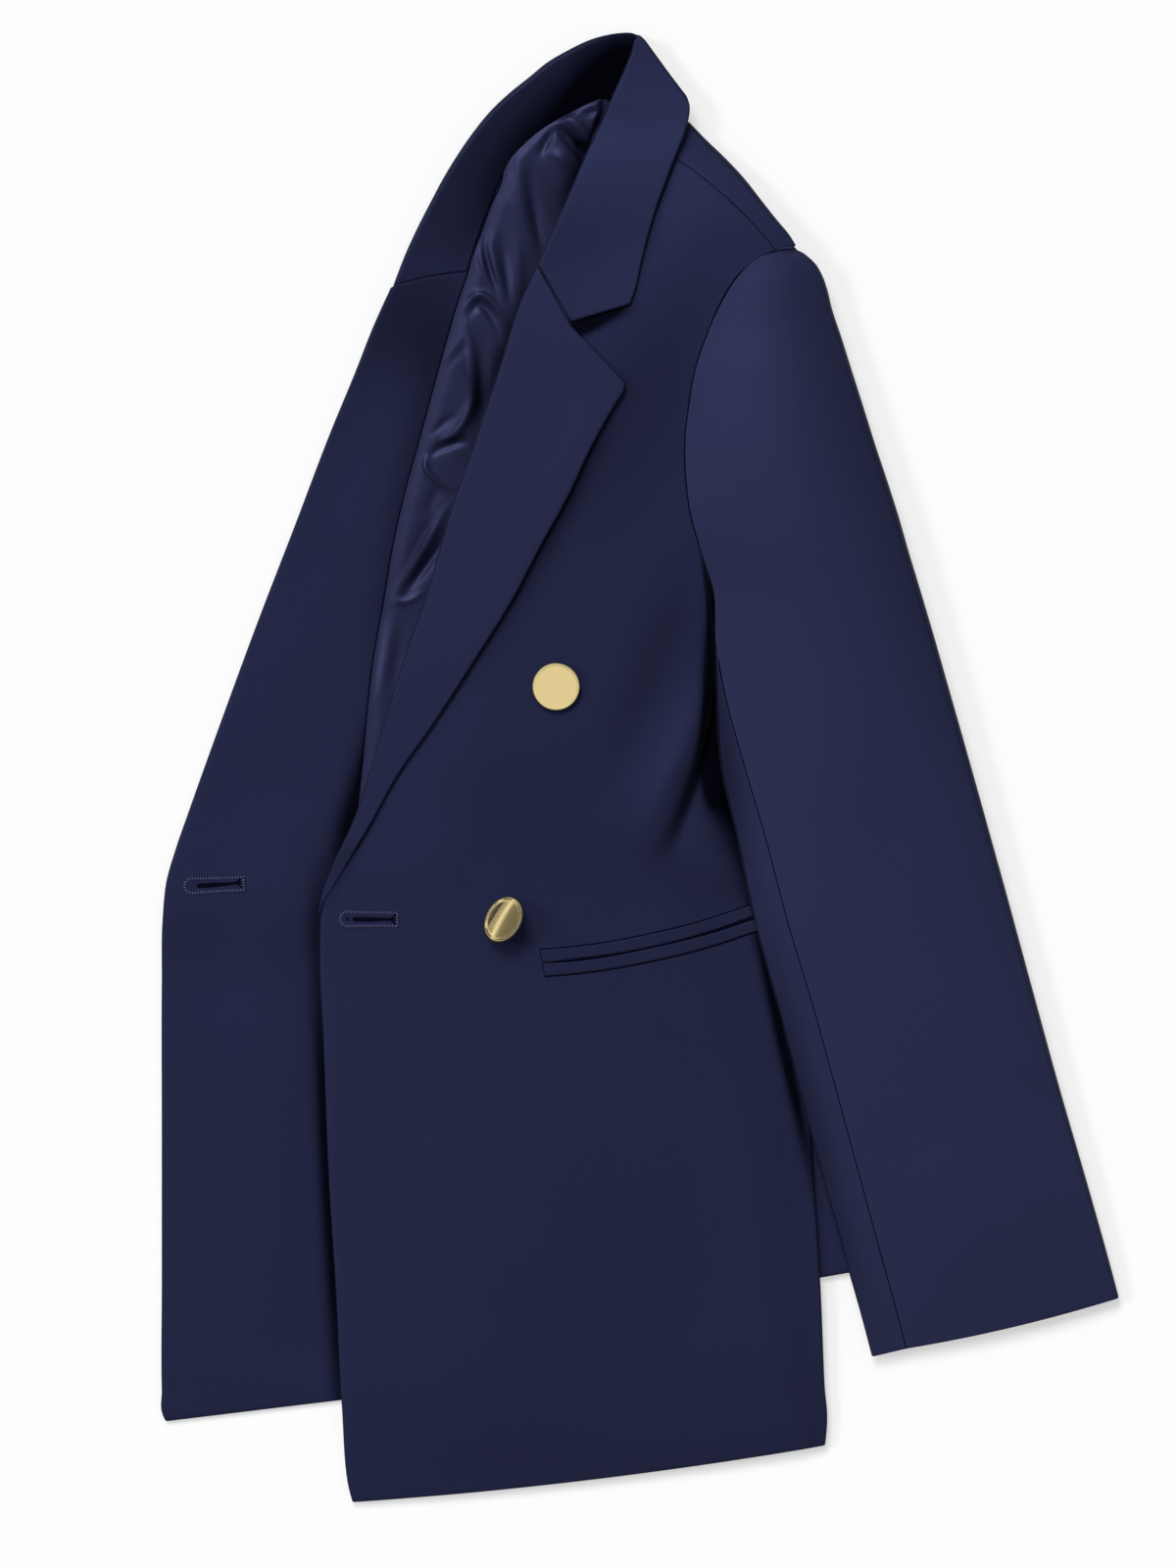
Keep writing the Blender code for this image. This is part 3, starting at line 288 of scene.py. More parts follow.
def with_painted_shade(tree, shader, colour):
    """Link a colour to the shader, darkened and dulled where the piece is marked with painted shade."""
    painted_shade = node(tree, "ShaderNodeGroup", {"node_tree": PAINTED_SHADE_GROUP})
    tree.links.new(scaled(tree, colour, painted_shade.outputs["Kept"]), shader.inputs["Base Color"])
    tree.links.new(painted_shade.outputs["Dull"], shader.inputs["Metallic"])


def woven(
    name,
    colour,
    specular=TWILL_SPECULAR,
    pitch=TWILL_PITCH,
    relief=TWILL_RELIEF,
    roughness=TWILL_ROUGHNESS,
):
    """A woven cloth: its colour and roughness vary with the threads, and so does its relief."""
    made, tree, shader = principled(name, {"Specular IOR Level": specular, **CLOTH_GLOSS})
    threads = node(tree, "ShaderNodeGroup", {"node_tree": TWILL}, Pitch=pitch)
    shade = threads.outputs["Shade"]
    with_painted_shade(tree, shader, scaled(tree, colour, shade))
    tree.links.new(sums(tree, "MULTIPLY", shade, roughness), shader.inputs["Roughness"])
    bumped(tree, shader, threads.outputs["Height"], relief)
    return made


NAVY = (0.0071, 0.0079, 0.0199)
NAVY_INSIDE = (0.0069, 0.0077, 0.0196)
# Each finish is a material, and the slot whose pieces wear it.
SUITING = (woven("suiting", NAVY), "suiting")
SUITING_INSIDE = (woven("suiting_inside", NAVY_INSIDE), "suiting_inside")

# The right sleeve: a flat tube on the sheet under everything else. Only a corner of its cuff
# shows beside the hem. The cloth's shaping tools that every later piece uses start here.

WALL = 1.6
RIM_ANGLES = np.radians((28.0, 54.0, 74.0, 86.0))
SHARPER = 0.45


def columns(names, *rows):
    """A table as one array for each named column."""
    return dict(zip(names.split(), np.array(rows, float).T, strict=True))


def smooth(t):
    """0 to 1 with no corner at either end."""
    t = np.clip(t, 0.0, 1.0)
    return t * t * (3 - 2 * t)


def through(knots, values, at):
    """Smooth line through a table's values: each knot's slope comes from its two neighbours."""
    slope = np.gradient(values, knots)
    at = np.clip(at, knots[0], knots[-1])
    i = np.clip(np.searchsorted(knots, at) - 1, 0, len(knots) - 2)
    step = knots[i + 1] - knots[i]
    t = (at - knots[i]) / step
    rise = values[i + 1] - values[i]
    start, end = slope[i] * step, slope[i + 1] * step
    return values[i] + t * (start + t * (3 * rise - 2 * start - end + t * (start + end - 2 * rise)))


def down(table, name, y, rows="y"):
    """A column of a table at height y, where the column called rows gives each row's height."""
    return through(-table[rows], table[name], -y)


def unit(v):
    """Vectors of length one."""
    return v / np.maximum(np.linalg.norm(v, axis=-1, keepdims=True), 1e-9)


def lengths(points, axis):
    """Distance travelled along one axis of a grid of points."""
    steps = np.linalg.norm(np.diff(points, axis=axis, prepend=points.take([0], axis=axis)), axis=-1)
    return np.cumsum(steps, axis=axis)


def side_of(table, side):
    """The points down one side of a table."""
    return np.stack([table[f"{side}_x"], table[f"{side}_y"]], axis=-1)


def between(left, right):
    """A table of rows from the points of its two sides."""
    return {"left_x": left[:, 0], "left_y": left[:, 1], "right_x": right[:, 0], "right_y": right[:, 1]}


def raised(plan, z):
    """Points of the plan with their heights."""
    return np.concatenate([plan, z[..., None]], axis=-1)


def square_to(way):
    """Directions in the plan, a quarter turn to the left."""
    return np.stack([-way[..., 1], way[..., 0]], axis=-1)


def looped(grid, axis=1):
    """A grid whose first row or column follows its last one again."""
    return np.concatenate([grid, grid.take([0], axis=axis)], axis=axis)


def cells(index, back=False):
    """Quads between the neighbours of a grid of indices, turned over for a back."""
    corners = [index[:-1, :-1], index[1:, :-1], index[1:, 1:], index[:-1, 1:]]
    quads = np.stack(corners, axis=-1).reshape(-1, 4)
    return quads[:, [0, 3, 2, 1]] if back else quads


def fan(loop, tip):
    """Triangles from each step of a loop of indices to one point."""
    return np.stack([loop[:-1], loop[1:], np.full(len(loop) - 1, tip)], axis=-1)


def rimmed(middle, normal, half, axis, last):
    """The middle surface with a half round at one side: it moves out as sin, and thins as cos.

    The edge first draws back by the round's radius, unless its last cell is too narrow for that.
    """
    edge = middle.take([-1 if last else 0], axis=axis)
    inside = middle.take([-2 if last else 1], axis=axis)
    out = unit(edge - inside)
    reach = half.max()
    if np.linalg.norm(edge - inside, axis=-1).min() > 1.3 * reach:
        edge = edge - out * reach
        rest = np.delete(middle, -1 if last else 0, axis=axis)
        middle = np.concatenate([rest, edge] if last else [edge, rest], axis=axis)
    side = normal.take([-1 if last else 0], axis=axis)
    thick = half.take([-1 if last else 0], axis=axis)
    for angle in RIM_ANGLES:
        new = [edge + out * reach * math.sin(angle), side, thick * math.cos(angle)]
        ends = [[middle, new[0]], [normal, new[1]], [half, new[2]]]
        middle, normal, half = (np.concatenate(e if last else e[::-1], axis=axis) for e in ends)
    return middle, normal, half


def wall_faces(outer, inner, ring):
    """Quads of a closed wall: the outer grid, the inner one turned over, and strips at the rims."""
    rims = [(outer[0], inner[0]), (inner[-1], outer[-1])]
    if not ring:
        rims += [(inner[:, 0], outer[:, 0]), (outer[:, -1], inner[:, -1])]
    strips = [np.stack([a[:-1], a[1:], b[1:], b[:-1]], axis=-1) for a, b in rims]
    return np.concatenate([cells(outer), cells(inner, back=True), *strips])


def make_mesh(name, points, faces, finish, grain=None):
    """A smooth object from points in millimetres, with an optional grain map in metres."""
    mesh = bpy.data.meshes.new(name)
    mesh.vertices.add(len(points))
    mesh.vertices.foreach_set("co", (points * MM).astype(np.float32).ravel())
    groups = faces if isinstance(faces, tuple) else (faces,)
    corners = np.concatenate([group.ravel() for group in groups])
    sides = np.concatenate([np.full(len(group), group.shape[1]) for group in groups])
    mesh.loops.add(len(corners))
    mesh.loops.foreach_set("vertex_index", corners.astype(np.int32))
    mesh.polygons.add(len(sides))
    mesh.polygons.foreach_set("loop_start", (np.cumsum(sides) - sides).astype(np.int32))
    mesh.update(calc_edges=True)
    mesh.shade_smooth()
    if grain is not None:
        layer = mesh.uv_layers.new(name="grain")
        layer.data.foreach_set("uv", (grain * MM).astype(np.float32)[corners].ravel())
    material, slot = finish
    mesh.materials.append(material)
    piece = bpy.data.objects.new(name, mesh)
    scene.collection.objects.link(piece)
    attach(piece, "root")
    return piece


def mark(piece, name, values):
    """A number of 0 to 1 at each point, for the materials to read."""
    layer = piece.data.attributes.new(name, "FLOAT", "POINT")
    layer.data.foreach_set("value", values.astype(np.float32))


def cloth(name, face, finish, wall=WALL, ring=False, stands_for=None):
    """A closed wall of cloth below a grid of outer points, with half round edges.

    A ring is a tube: its last column meets its first, and only its two ends have edges.
    stands_for names the solid that it replaces: its own name if left out, and "" for none.
    """
    around = np.concatenate([face[:, -1:], face, face[:, :1]], axis=1) if ring else face
    across = np.gradient(around, axis=1)
    across = across[:, 1:-1] if ring else across
    normal = unit(np.cross(np.gradient(face, axis=0), across))
    half = np.full(face.shape[:2] + (1,), wall / 2)
    parts = (face - normal * half, normal, half)
    for axis in (0,) if ring else (1, 0):
        parts = rimmed(*rimmed(*parts, axis, False), axis, True)
    middle, normal, half = parts
    u, v = lengths(middle, 1), lengths(middle, 0)
    centre = u.shape[1] // 2
    grain = np.stack([u - u[:, centre, None], 0 * u + v[:, centre, None]], axis=-1).reshape(-1, 2)
    index = np.arange(u.size).reshape(u.shape)
    index = looped(index) if ring else index
    faces = wall_faces(index, index + u.size, ring)
    points = np.concatenate([middle + normal * half, middle - normal * half]).reshape(-1, 3)
    piece = make_mesh(name, points, faces, finish, np.concatenate([grain, grain]))
    if stands_for != "":
        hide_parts(stands_for or name)
    return piece


def rolled_side(radius, wrap, leg, leg_steps, arc_steps):
    """Distance in from the edge, and drop below the face, at each point of a rolled side.

    It runs from the tip of the leg that is turned under, along the leg, and round the fold from
    `wrap` degrees below level up to just short of the face. The fold is an ellipse, sharper at
    its edge than a circle.
    """
    turn = np.radians(wrap)
    tip_in, tip_down = SHARPER * radius * (1 - np.cos(turn)), radius * (1 + np.sin(turn))
    along = leg * np.linspace(1, 0, leg_steps + 1)[:-1]
    angle = -turn + (turn + math.pi / 2) * np.linspace(0, 1, arc_steps + 1)[:-1]
    round_in = SHARPER * radius * (1 - np.cos(angle))
    inward = np.concatenate([tip_in + along * np.sin(turn), round_in], axis=1)
    drop = np.concatenate([tip_down + along * np.cos(turn), radius * (1 - np.sin(angle))], axis=1)
    return inward, drop


class Pattern:
    """A cut piece laid between a left and a right edge, each row straight but for its bow."""

    def __init__(self, table, rows, top_roll=0.0):
        """Rows at even distances down the middle; a top roll turns the first ones down."""
        middle = (side_of(table, "left") + side_of(table, "right")) / 2
        steps = np.linalg.norm(np.diff(middle, axis=0), axis=1)
        self.knots = np.concatenate([[0.0], np.cumsum(steps)])
        self.table = table
        self.places = np.linspace(top_roll, self.knots[-1], rows)
        self.row_drop = np.zeros(rows)
        if top_roll:
            angle = np.radians(np.arange(0.0, 90.0, 9.0))
            self.places = np.concatenate([top_roll * (1 - np.cos(angle)), self.places])
            self.row_drop = np.concatenate([top_roll * (1 - np.sin(angle)), self.row_drop])
        self.left = np.stack([self.read("left_x"), self.read("left_y")], axis=1)
        self.right = np.stack([self.read("right_x"), self.read("right_y")], axis=1)
        self.width = np.linalg.norm(self.right - self.left, axis=1)
        self.bow = self.read("bow") if "bow" in table else np.zeros(len(self.places))

    def read(self, name):
        """A column of the table at every row."""
        return through(self.knots, self.table[name], self.places)

    def turned(self, side):
        """Distances in, drops and leg of a rolled side, and where the level face begins."""
        empty = np.zeros((len(self.places), 1))
        if side is None:
            return empty[:, :0], empty[:, :0], np.zeros(0, bool), empty
        radius, wrap, leg = (empty + np.reshape(v, (-1, 1)) for v in side[:3])
        inward, drop = rolled_side(radius, wrap, leg, *side[3:])
        return inward, drop, np.arange(inward.shape[1]) < side[3], SHARPER * radius

    def face(
        self, height, steps, left=None, right=None, apex=None, under=None, crowd=0.0, lift=None
    ):
        """The outer face as rows of points, at the height that a function of x and y gives.

        left and right are (radius, wrap, leg, leg_steps, arc_steps) of a rolled side. A bow is a
        parabola, or with an apex a bend at that share of the row. under gives a leg's own
        height, crowd brings the columns closer together towards the right, and lift raises each
        row's left side, fading evenly towards its right one.
        """
        width = self.width[:, None]
        left_in, left_drop, left_leg, start = self.turned(left)
        right_in, right_drop, right_leg, stop = self.turned(right)
        spaced = np.linspace(0, 1, steps + 1)
        spaced = spaced + crowd * np.sin(math.pi * spaced)
        level = start + (width - stop - start) * spaced
        along = np.concatenate([left_in, level, width - right_in[:, ::-1]], axis=1)
        drop = np.concatenate([left_drop, 0 * level, right_drop[:, ::-1]], axis=1)
        leg = np.concatenate([left_leg, np.zeros(steps + 1, bool), right_leg[::-1]])
        share = along / width
        bend = 4 * share * (1 - share)
        if apex is not None:
            bend = np.clip(np.minimum(share / apex, (1 - share) / (1 - apex)), 0, 1)
        way = unit(self.right - self.left)
        plan = self.left[:, None] + way[:, None] * along[..., None]
        plan = plan + square_to(way)[:, None] * (self.bow[:, None] * bend)[..., None]
        x, y = plan[..., 0], plan[..., 1]
        z = height(x, y) - drop - self.row_drop[:, None]
        if lift is not None:
            z = z + lift[:, None] * np.where(leg, 1.0, np.clip(1 - share, 0, 1))
        if under is not None:
            z = np.where(leg, under(x, y), z)
        return raised(plan, z)


RIGHT_SLEEVE = columns(
    "left_x left_y right_x right_y",
    (50, 35, 146, 44),
    (51, 0, 149, 14),
    (55, -60, 155, -45),
    (60, -120, 161, -104),
    (64, -180, 167, -164),
    (69, -228, 172, -212),
    (78, -290, 179, -272.5),
)
RIGHT_SLEEVE_TOP = 4.8

right_tube = Pattern(RIGHT_SLEEVE, 90)
half = RIGHT_SLEEVE_TOP / 2
turns = np.radians(np.linspace(90, 270, 13))
flat = np.linspace(1.0, 0.0, 18)[1:-1]
ring_share = np.concatenate([flat, np.zeros(13), flat[::-1], np.ones(13)])
ring_out = np.concatenate([0 * flat, np.cos(turns) + 1, 0 * flat, -np.cos(turns) - 1]) * half
ring_z = np.concatenate([0 * flat + 1, np.sin(turns), 0 * flat - 1, -np.sin(turns)]) * half + half
ring_along = right_tube.width[:, None] * ring_share[None] + ring_out[None]
ring_way = unit(right_tube.right - right_tube.left)
ring_plan = right_tube.left[:, None] + ring_way[:, None] * ring_along[..., None]
ring_face = raised(ring_plan, np.broadcast_to(ring_z, ring_along.shape))[:, ::-1]
right_sleeve = cloth("right_sleeve", ring_face, SUITING, ring=True)

# The right front: the outside shell lies face down, and the facing is sewn to it along the
# front edge and the hem. Above the break the facing's lapel is turned under along the roll line.

LAYER_GAP = 0.5
SEAM_GAP = 0.3
UNDER_ROLL = 2.85
UNDER_CHEST = 5.8
UNDER_SKIRT = 3.7
UNDER_STEP = -125.0
UNDER_STEP_RUN = 60.0


def bands(*rows):
    """A table of soft bands: each has a curve's start, middle and end, a height and a half width."""
    return columns("start_x start_y mid_x mid_y end_x end_y height half_width", *rows)


def soft_folds(x, y, folds):
    """Sum of ridges and hollows: each a round hump across a curved line, fading at both ends."""
    total, t = np.zeros_like(x), np.linspace(0, 1, 13)
    for x0, y0, x1, y1, x2, y2, height, half_width in zip(*folds.values(), strict=True):
        path_x, path_y = (
            (1 - t) ** 2 * start + 2 * t * (1 - t) * mid + t * t * end
            for start, mid, end in ((x0, x1, x2), (y0, y1, y2))
        )
        nearest, place = np.full(x.shape, np.inf), np.zeros(x.shape)
        for k in range(len(t) - 1):
            px, py, dx, dy = path_x[k], path_y[k], path_x[k + 1] - path_x[k], path_y[k + 1] - path_y[k]
            along = np.clip(((x - px) * dx + (y - py) * dy) / (dx * dx + dy * dy), 0.0, 1.0)
            away = np.hypot(x - px - along * dx, y - py - along * dy)
            place = np.where(away < nearest, t[k] + along * (t[k + 1] - t[k]), place)
            nearest = np.minimum(away, nearest)
        fade = np.sin(math.pi * place) ** 2 * 0.4 + np.sin(math.pi * place) * 0.6
        total += height * fade * np.exp(-((nearest / half_width) ** 2))
    return total


# Broad, barely seen hollows and swells of the facing
FACING_FOLDS = bands(
    (-150, 250, -158, 190, -178, 130, -0.7, 26),
    (-175, 120, -200, 60, -215, -10, 0.5, 24),
    (-235, -90, -232, -180, -236, -300, 0.5, 22),
    (-206, -20, -206, -170, -204, -370, 1.2, 22),
    (-262, -330, -215, -350, -168, -346, 0.3, 14),
)

# Painted shade beside the upper half's edge and beside the lining, where little light comes
FACING_PAINTED_SHADE = bands(
    (-128, 75, -160, -10, -186, -115, 1.1, 9),
    (-184, -30, -178, -220, -160, -470, 1.2, 5.5),
    (-98, 285, -127, 180, -157, 0, 0.5, 13),
    (-160, 262, -126, 240, -84, 240, 0.38, 32),
)


def paint_shade(piece, places):
    """Paint shade on a piece: how dark each point is painted, from 0 to 1, in soft bands along curved
    lines.
    """
    spots = np.empty(len(piece.data.vertices) * 3, np.float32)
    piece.data.vertices.foreach_get("co", spots)
    x, y = spots.reshape(-1, 3)[:, :2].T.astype(float) / MM
    mark(piece, "shade_amount", np.clip(soft_folds(x, y, places), 0.0, 1.0))


def under_level(x, y):
    """Height of the right half's inner face: higher above the break, over its turned lapel."""
    return UNDER_SKIRT + (UNDER_CHEST - UNDER_SKIRT) * smooth((y - UNDER_STEP) / UNDER_STEP_RUN)


def under_face(x, y):
    """The facing's and the collar's shown side, with its soft folds."""
    return under_level(x, y) + soft_folds(x, y, FACING_FOLDS)


def shell_face(x, y):
    """The shell's inner face, a wall and a gap below the facing's."""
    return under_level(x, y) - WALL - LAYER_GAP


RIGHT_FRONT = columns(
    "left_x left_y right_x right_y",
    (-20, 369, -9, 366),
    (-41, 359, -20, 346),
    (-64, 345, -32, 318),
    (-80, 320, -42, 296),
    (-132, 271, -55, 270),
    (-146, 241, -64, 240),
    (-161.5, 200, -76, 200),
    (-184.5, 140, -94, 140),
    (-207, 80, -112, 80),
    (-229, 20, -132, 20),
    (-244, -22, -146.5, -22),
    (-255, -52, -158.5, -52),
    (-264.5, -80, -160.5, -84),
    (-266, -120, -159.5, -122),
    (-266, -200, -157.5, -196),
    (-266, -290, -153.5, -281),
    (-266, -350, -151, -339),
    (-265, -364.5, -150, -350.6),
)
shell = Pattern(RIGHT_FRONT, 120).face(shell_face, 24)
right_front = cloth("right_front", shell, SUITING_INSIDE)

RIGHT_FACING = columns(
    "left_x left_y right_x right_y bow leg wrap roll lift",
    (-139.9, 271, -97.2, 279.6, 1.4, 4, 90, 2.85, 6),
    (-149.6, 249.7, -103.4, 261.2, 0.7, 26, 90, 2.85, 5),
    (-160.2, 223, -109.5, 240, 0, 58, 90, 2.85, 4),
    (-173.3, 191.4, -117.8, 209, 0, 57, 90, 2.85, 3),
    (-193.9, 137.5, -134.5, 147, 0, 48, 90, 2.85, 2),
    (-214.9, 83.1, -146.5, 84, 0, 37, 90, 2.85, 1.2),
    (-234.4, 30.3, -154, 30, 0, 26, 90, 2.85, 0.5),
    (-253.4, -22.6, -159, -22, 0, 11, 90, 2.85, 0),
    (-261.4, -45.7, -160, -50, 0, 1, 90, 2.8, 0),
    (-266.2, -62.5, -161, -68, 0, 0.6, 40, 2.2, 0),
    (-268.5, -85, -161, -88, 0, 0.5, 15, 1.9, 0),
    (-269, -120, -160, -122, 0, 0.5, 10, 1.8, 0),
    (-269, -200, -158, -196, 0, 0.5, 10, 1.8, 0),
    (-269, -290, -154, -281, 0, 0.5, 10, 1.8, 0),
    (-269, -350, -151, -339, 0, 0.5, 10, 1.8, 0),
    (-268.6, -363, -150.4, -350.2, 0, 0.5, 10, 1.8, 0),
    (-266.8, -366.8, -150, -352.6, 0, 0.5, 10, 1.8, 0),
)
facing = Pattern(RIGHT_FACING, 230)
facing_lift = facing.read("lift")
facing_roll = facing.read("roll") + facing_lift / 2
facing_turn = (facing_roll, facing.read("wrap"), facing.read("leg"), 12, 12)
facing_side = facing.face(under_face, 46, left=facing_turn, lift=facing_lift)
right_facing = cloth("right_facing", facing_side, SUITING_INSIDE)
paint_shade(right_facing, FACING_PAINTED_SHADE)

# The right half of the collar, inside up: its stand, with the fall turned under it along the
# roll. It is cut from the suiting and sewn to the facing along the gorge.

COLLAR_RIGHT = columns(
    "left_x left_y right_x right_y bow leg lift",
    (0.4, 412.4, 21.5, 376.5, 1, 20, 1),
    (-7, 414.2, 3, 368, 0, 20, 3.2),
    (-18.2, 412.8, -9, 369, 0, 19, 5.8),
    (-29.4, 409.4, -19.5, 376.5, 0, 18, 7.4),
    (-40.8, 403.8, -27, 373.5, 0, 18, 8.4),
    (-51.8, 397.4, -34.5, 370, 0, 18, 8.2),
    (-62.2, 388.9, -42, 366, 0, 18, 8.8),
    (-73.2, 380.1, -50, 362, 0, 18, 9),
    (-84.2, 369.6, -58.5, 356.3, 0, 18, 9),
    (-95.2, 355.9, -67.5, 347.8, 0, 19, 8.8),
    (-106.2, 339.4, -75.5, 337, 0, 22, 8.4),
    (-117.2, 319.6, -84.2, 317.9, 0, 24, 7.8),
    (-132.6, 287.7, -93.5, 291.5, 0.6, 26, 6.6),
    (-138.9, 271.2, -97, 279.9, 1.4, 26, 6),
)
# Painted shade on the stand, darkest near the fold at the centre back
COLLAR_PAINTED_SHADE = bands(
    (8, 424, -12, 392, -36, 352, 1.1, 19),
    (16, 400, -52, 380, -104, 275, 1.1, 18),
)
stand = Pattern(COLLAR_RIGHT, 130)
stand_lift = stand.read("lift")
stand_turn = (UNDER_ROLL + stand_lift / 2, 90, stand.read("leg"), 8, 14)
stand_side = stand.face(under_face, 24, left=stand_turn, lift=stand_lift)
collar_right = cloth("collar_right", stand_side, SUITING_INSIDE)
paint_shade(collar_right, COLLAR_PAINTED_SHADE)

# The lining: navy satin, cut loose and sewn to the facing and the collar. The slack lies in
# soft folds in the neck opening, and the satin shines along their ridges.

LINING_WALL = 0.9
LINING_BED = 2.0
LINING_UNDER_ROLL = 5.2
LINING_EASE = 9.0
LINING_AT_SEAM = 0.7
LINING_SEAM_CORD = 0.5
SEAM_CORD = 0.42
STRAND_SIDES = 8
LINING = columns(
    "left_x left_y right_x right_y",
    (-17, 379, -4, 373),
    (-28.4, 375.6, -8, 360),
    (-41, 369.2, -13, 347),
    (-52.6, 363, -18, 336),
    (-64.6, 353.4, -26, 322),
    (-74.8, 343, -32, 308),
    (-78.2, 329.2, -37, 296),
    (-83.8, 316.6, -42.5, 284),
    (-89.2, 301.6, -48, 272),
    (-94.6, 287.4, -52.5, 259),
    (-97, 278.4, -55.5, 250),
    (-102.9, 261, -61, 232),
    (-108.5, 242, -66, 214),
    (-116.8, 211.8, -74.5, 188),
    (-125, 181.5, -82, 162),
    (-133.3, 151.2, -90.5, 136),
    (-139.3, 123.8, -99, 111),
    (-144.3, 93.5, -107.5, 84),
    (-149.8, 63.3, -117, 57),
    (-153.1, 35.8, -126, 31),
    (-155.8, 5.5, -136, 2),
    (-158.5, -20, -145.5, -22),
)
LINING_FOLDS = bands(
    (-66, 349.2, -72.1, 319, -59.4, 287.7, 1.7, 6),
    (-61.6, 344.9, -61.6, 313.5, -52.8, 287.7, -1.7, 3.6),
    (-51.2, 339.4, -49, 319, -53.4, 295.4, -1.2, 9.6),
    (-47.9, 362.5, -40.2, 354.8, -28.1, 339.4, -2.6, 3),
    (-47.3, 361.9, -52.3, 353.7, -57.2, 343.2, -1.7, 2.3),
    (-51.2, 342.7, -44.6, 349.2, -38, 333.9, 1.2, 3.6),
    (-46.8, 365.8, -35.8, 366.9, -25.9, 350.4, 1.6, 3.4),
    (-33.6, 370.2, -28.1, 367.4, -20.4, 371.8, -1.1, 2.4),
    (-91.3, 300.9, -91.9, 286, -80.9, 265.7, 1.2, 1.8),
    (-88, 302, -87.5, 284.4, -78.1, 264.6, -1.4, 1.6),
    (-84.7, 303.1, -82.5, 284.4, -74.2, 255.8, 1.4, 2.3),
    (-79.2, 303.1, -75.4, 283.2, -72.1, 258, -1, 2),
    (-71, 304.2, -66.6, 283.2, -70.4, 255.8, 1, 3.6),
    (-100.1, 253.6, -90.8, 283.2, -72.6, 245.9, 1.7, 2),
    (-97.4, 251.4, -88.6, 276.7, -76.5, 237.1, -1.9, 2.5),
    (-100.7, 255.8, -91.3, 231, -94.6, 205.2, 1.4, 2.9),
    (-93.5, 216.2, -94.6, 188.7, -121, 176.6, 1.7, 2.8),
    (-88.6, 249.2, -86.9, 220, -90.8, 190.9, -1.4, 4.3),
    (-97.4, 244.2, -105.1, 238.7, -111.1, 226.6, 0.6, 1.7),
    (-95.7, 238.7, -102.9, 233.8, -108.9, 222.8, -0.4, 1.9),
    (-118.8, 185.9, -110.6, 195.3, -102.3, 200.2, -0.9, 2),
    (-121, 174.4, -110.6, 183.7, -95.7, 184.8, -2, 2.2),
    (-116.6, 178.2, -129.8, 168.9, -103.4, 156.2, 1.5, 1.8),
    (-110, 163.9, -117.2, 154, -119.4, 140.2, -0.9, 3.6),
    (-106.7, 151.2, -119.4, 126, -138.6, 95.2, 1.7, 2.9),
    (-106.7, 135.9, -117.2, 115.5, -134.8, 96.3, -1.9, 2.6),
    (-139.7, 96.3, -130.4, 89.7, -119.9, 102.3, 0.9, 1.9),
    (-140.2, 89.7, -141.4, 63.3, -148, 34.7, 0.7, 3.6),
    (-133.7, 88, -134.8, 63.3, -140.2, 40.2, -0.6, 3.6),
)
# Painted shade where the satin lies deep: along the collar and the lapel's roll, and in some of its folds
LINING_PAINTED_SHADE = bands(
    (2, 400, -30, 346, -64, 272, 1, 9),
    (-50, 300, -76, 236, -110, 150, 0.8, 7),
    (-104, 170, -124, 128, -142, 80, 0.55, 5.5),
    (-47, 364, -34, 352, -26, 338, 0.7, 4),
    (-99, 238, -92, 215, -90, 190, 0.45, 5),
    (-118, 182, -112, 186, -96, 188, 0.5, 3),
)


def strand(name, line, radius, finish, closed=False, bumps=None):
    """A tube along a line of points: each ring is a circle, square to the line and to upright."""
    if closed:
        way = unit(np.roll(line, -1, axis=0) - np.roll(line, 1, axis=0))
    else:
        way = unit(np.gradient(line, axis=0))
    sideways = unit(np.cross(way, np.array([0.0, 0.0, 1.0])))
    upwards = np.cross(sideways, way)
    turn = np.linspace(0, 2 * math.pi, STRAND_SIDES, endpoint=False)
    thick = (radius if bumps is None else radius * bumps[:, None, None]) * np.ones((len(line), 1, 1))
    ring = sideways[:, None] * np.cos(turn)[None, :, None] + upwards[:, None] * np.sin(turn)[None, :, None]
    points = (line[:, None] + ring * thick).reshape(-1, 3)
    index = looped(np.arange(len(points)).reshape(len(line), STRAND_SIDES))
    faces = cells(looped(index, 0) if closed else index, back=True)
    if not closed:
        faces = (faces, fan(index[0, ::-1], len(points)), fan(index[-1], len(points) + 1))
        points = np.concatenate([points, line[[0, -1]]])
    piece = make_mesh(name, points, faces, finish)
    # where a tube thins between its stitches, it is painted darker, as shade
    if bumps is not None:
        mark(piece, "shade_amount", np.clip((1.0 - bumps) / 0.4, 0.0, 1.0).repeat(STRAND_SIDES))
    return piece


def seam_shadow(name, line, face, sunk, cord=SEAM_CORD):
    """A seam's painted shadow: a thin dark cord along a line of the plan, sunk a little in a face."""
    return strand(name, raised(line, face(line[:, 0], line[:, 1]) - sunk), cord, SEAM_SHADE)


def smoothed(points, steps):
    """A smooth line of that many points through a few knots."""
    knots, at = np.linspace(0, 1, len(points)), np.linspace(0, 1, steps)
    return np.stack([through(knots, column, at) for column in points.T], axis=1)


# Painted shade: a near black cloth for the shadows in seams, slits and cuts
SEAM_NAVY = (0.0018, 0.0022, 0.0075, 1.0)
seam_gloss = {"Base Color": SEAM_NAVY, "Roughness": 0.95, "Specular IOR Level": 0.0}
SEAM_SHADE = (principled("painted_seam_shadow", seam_gloss)[0], "thread")


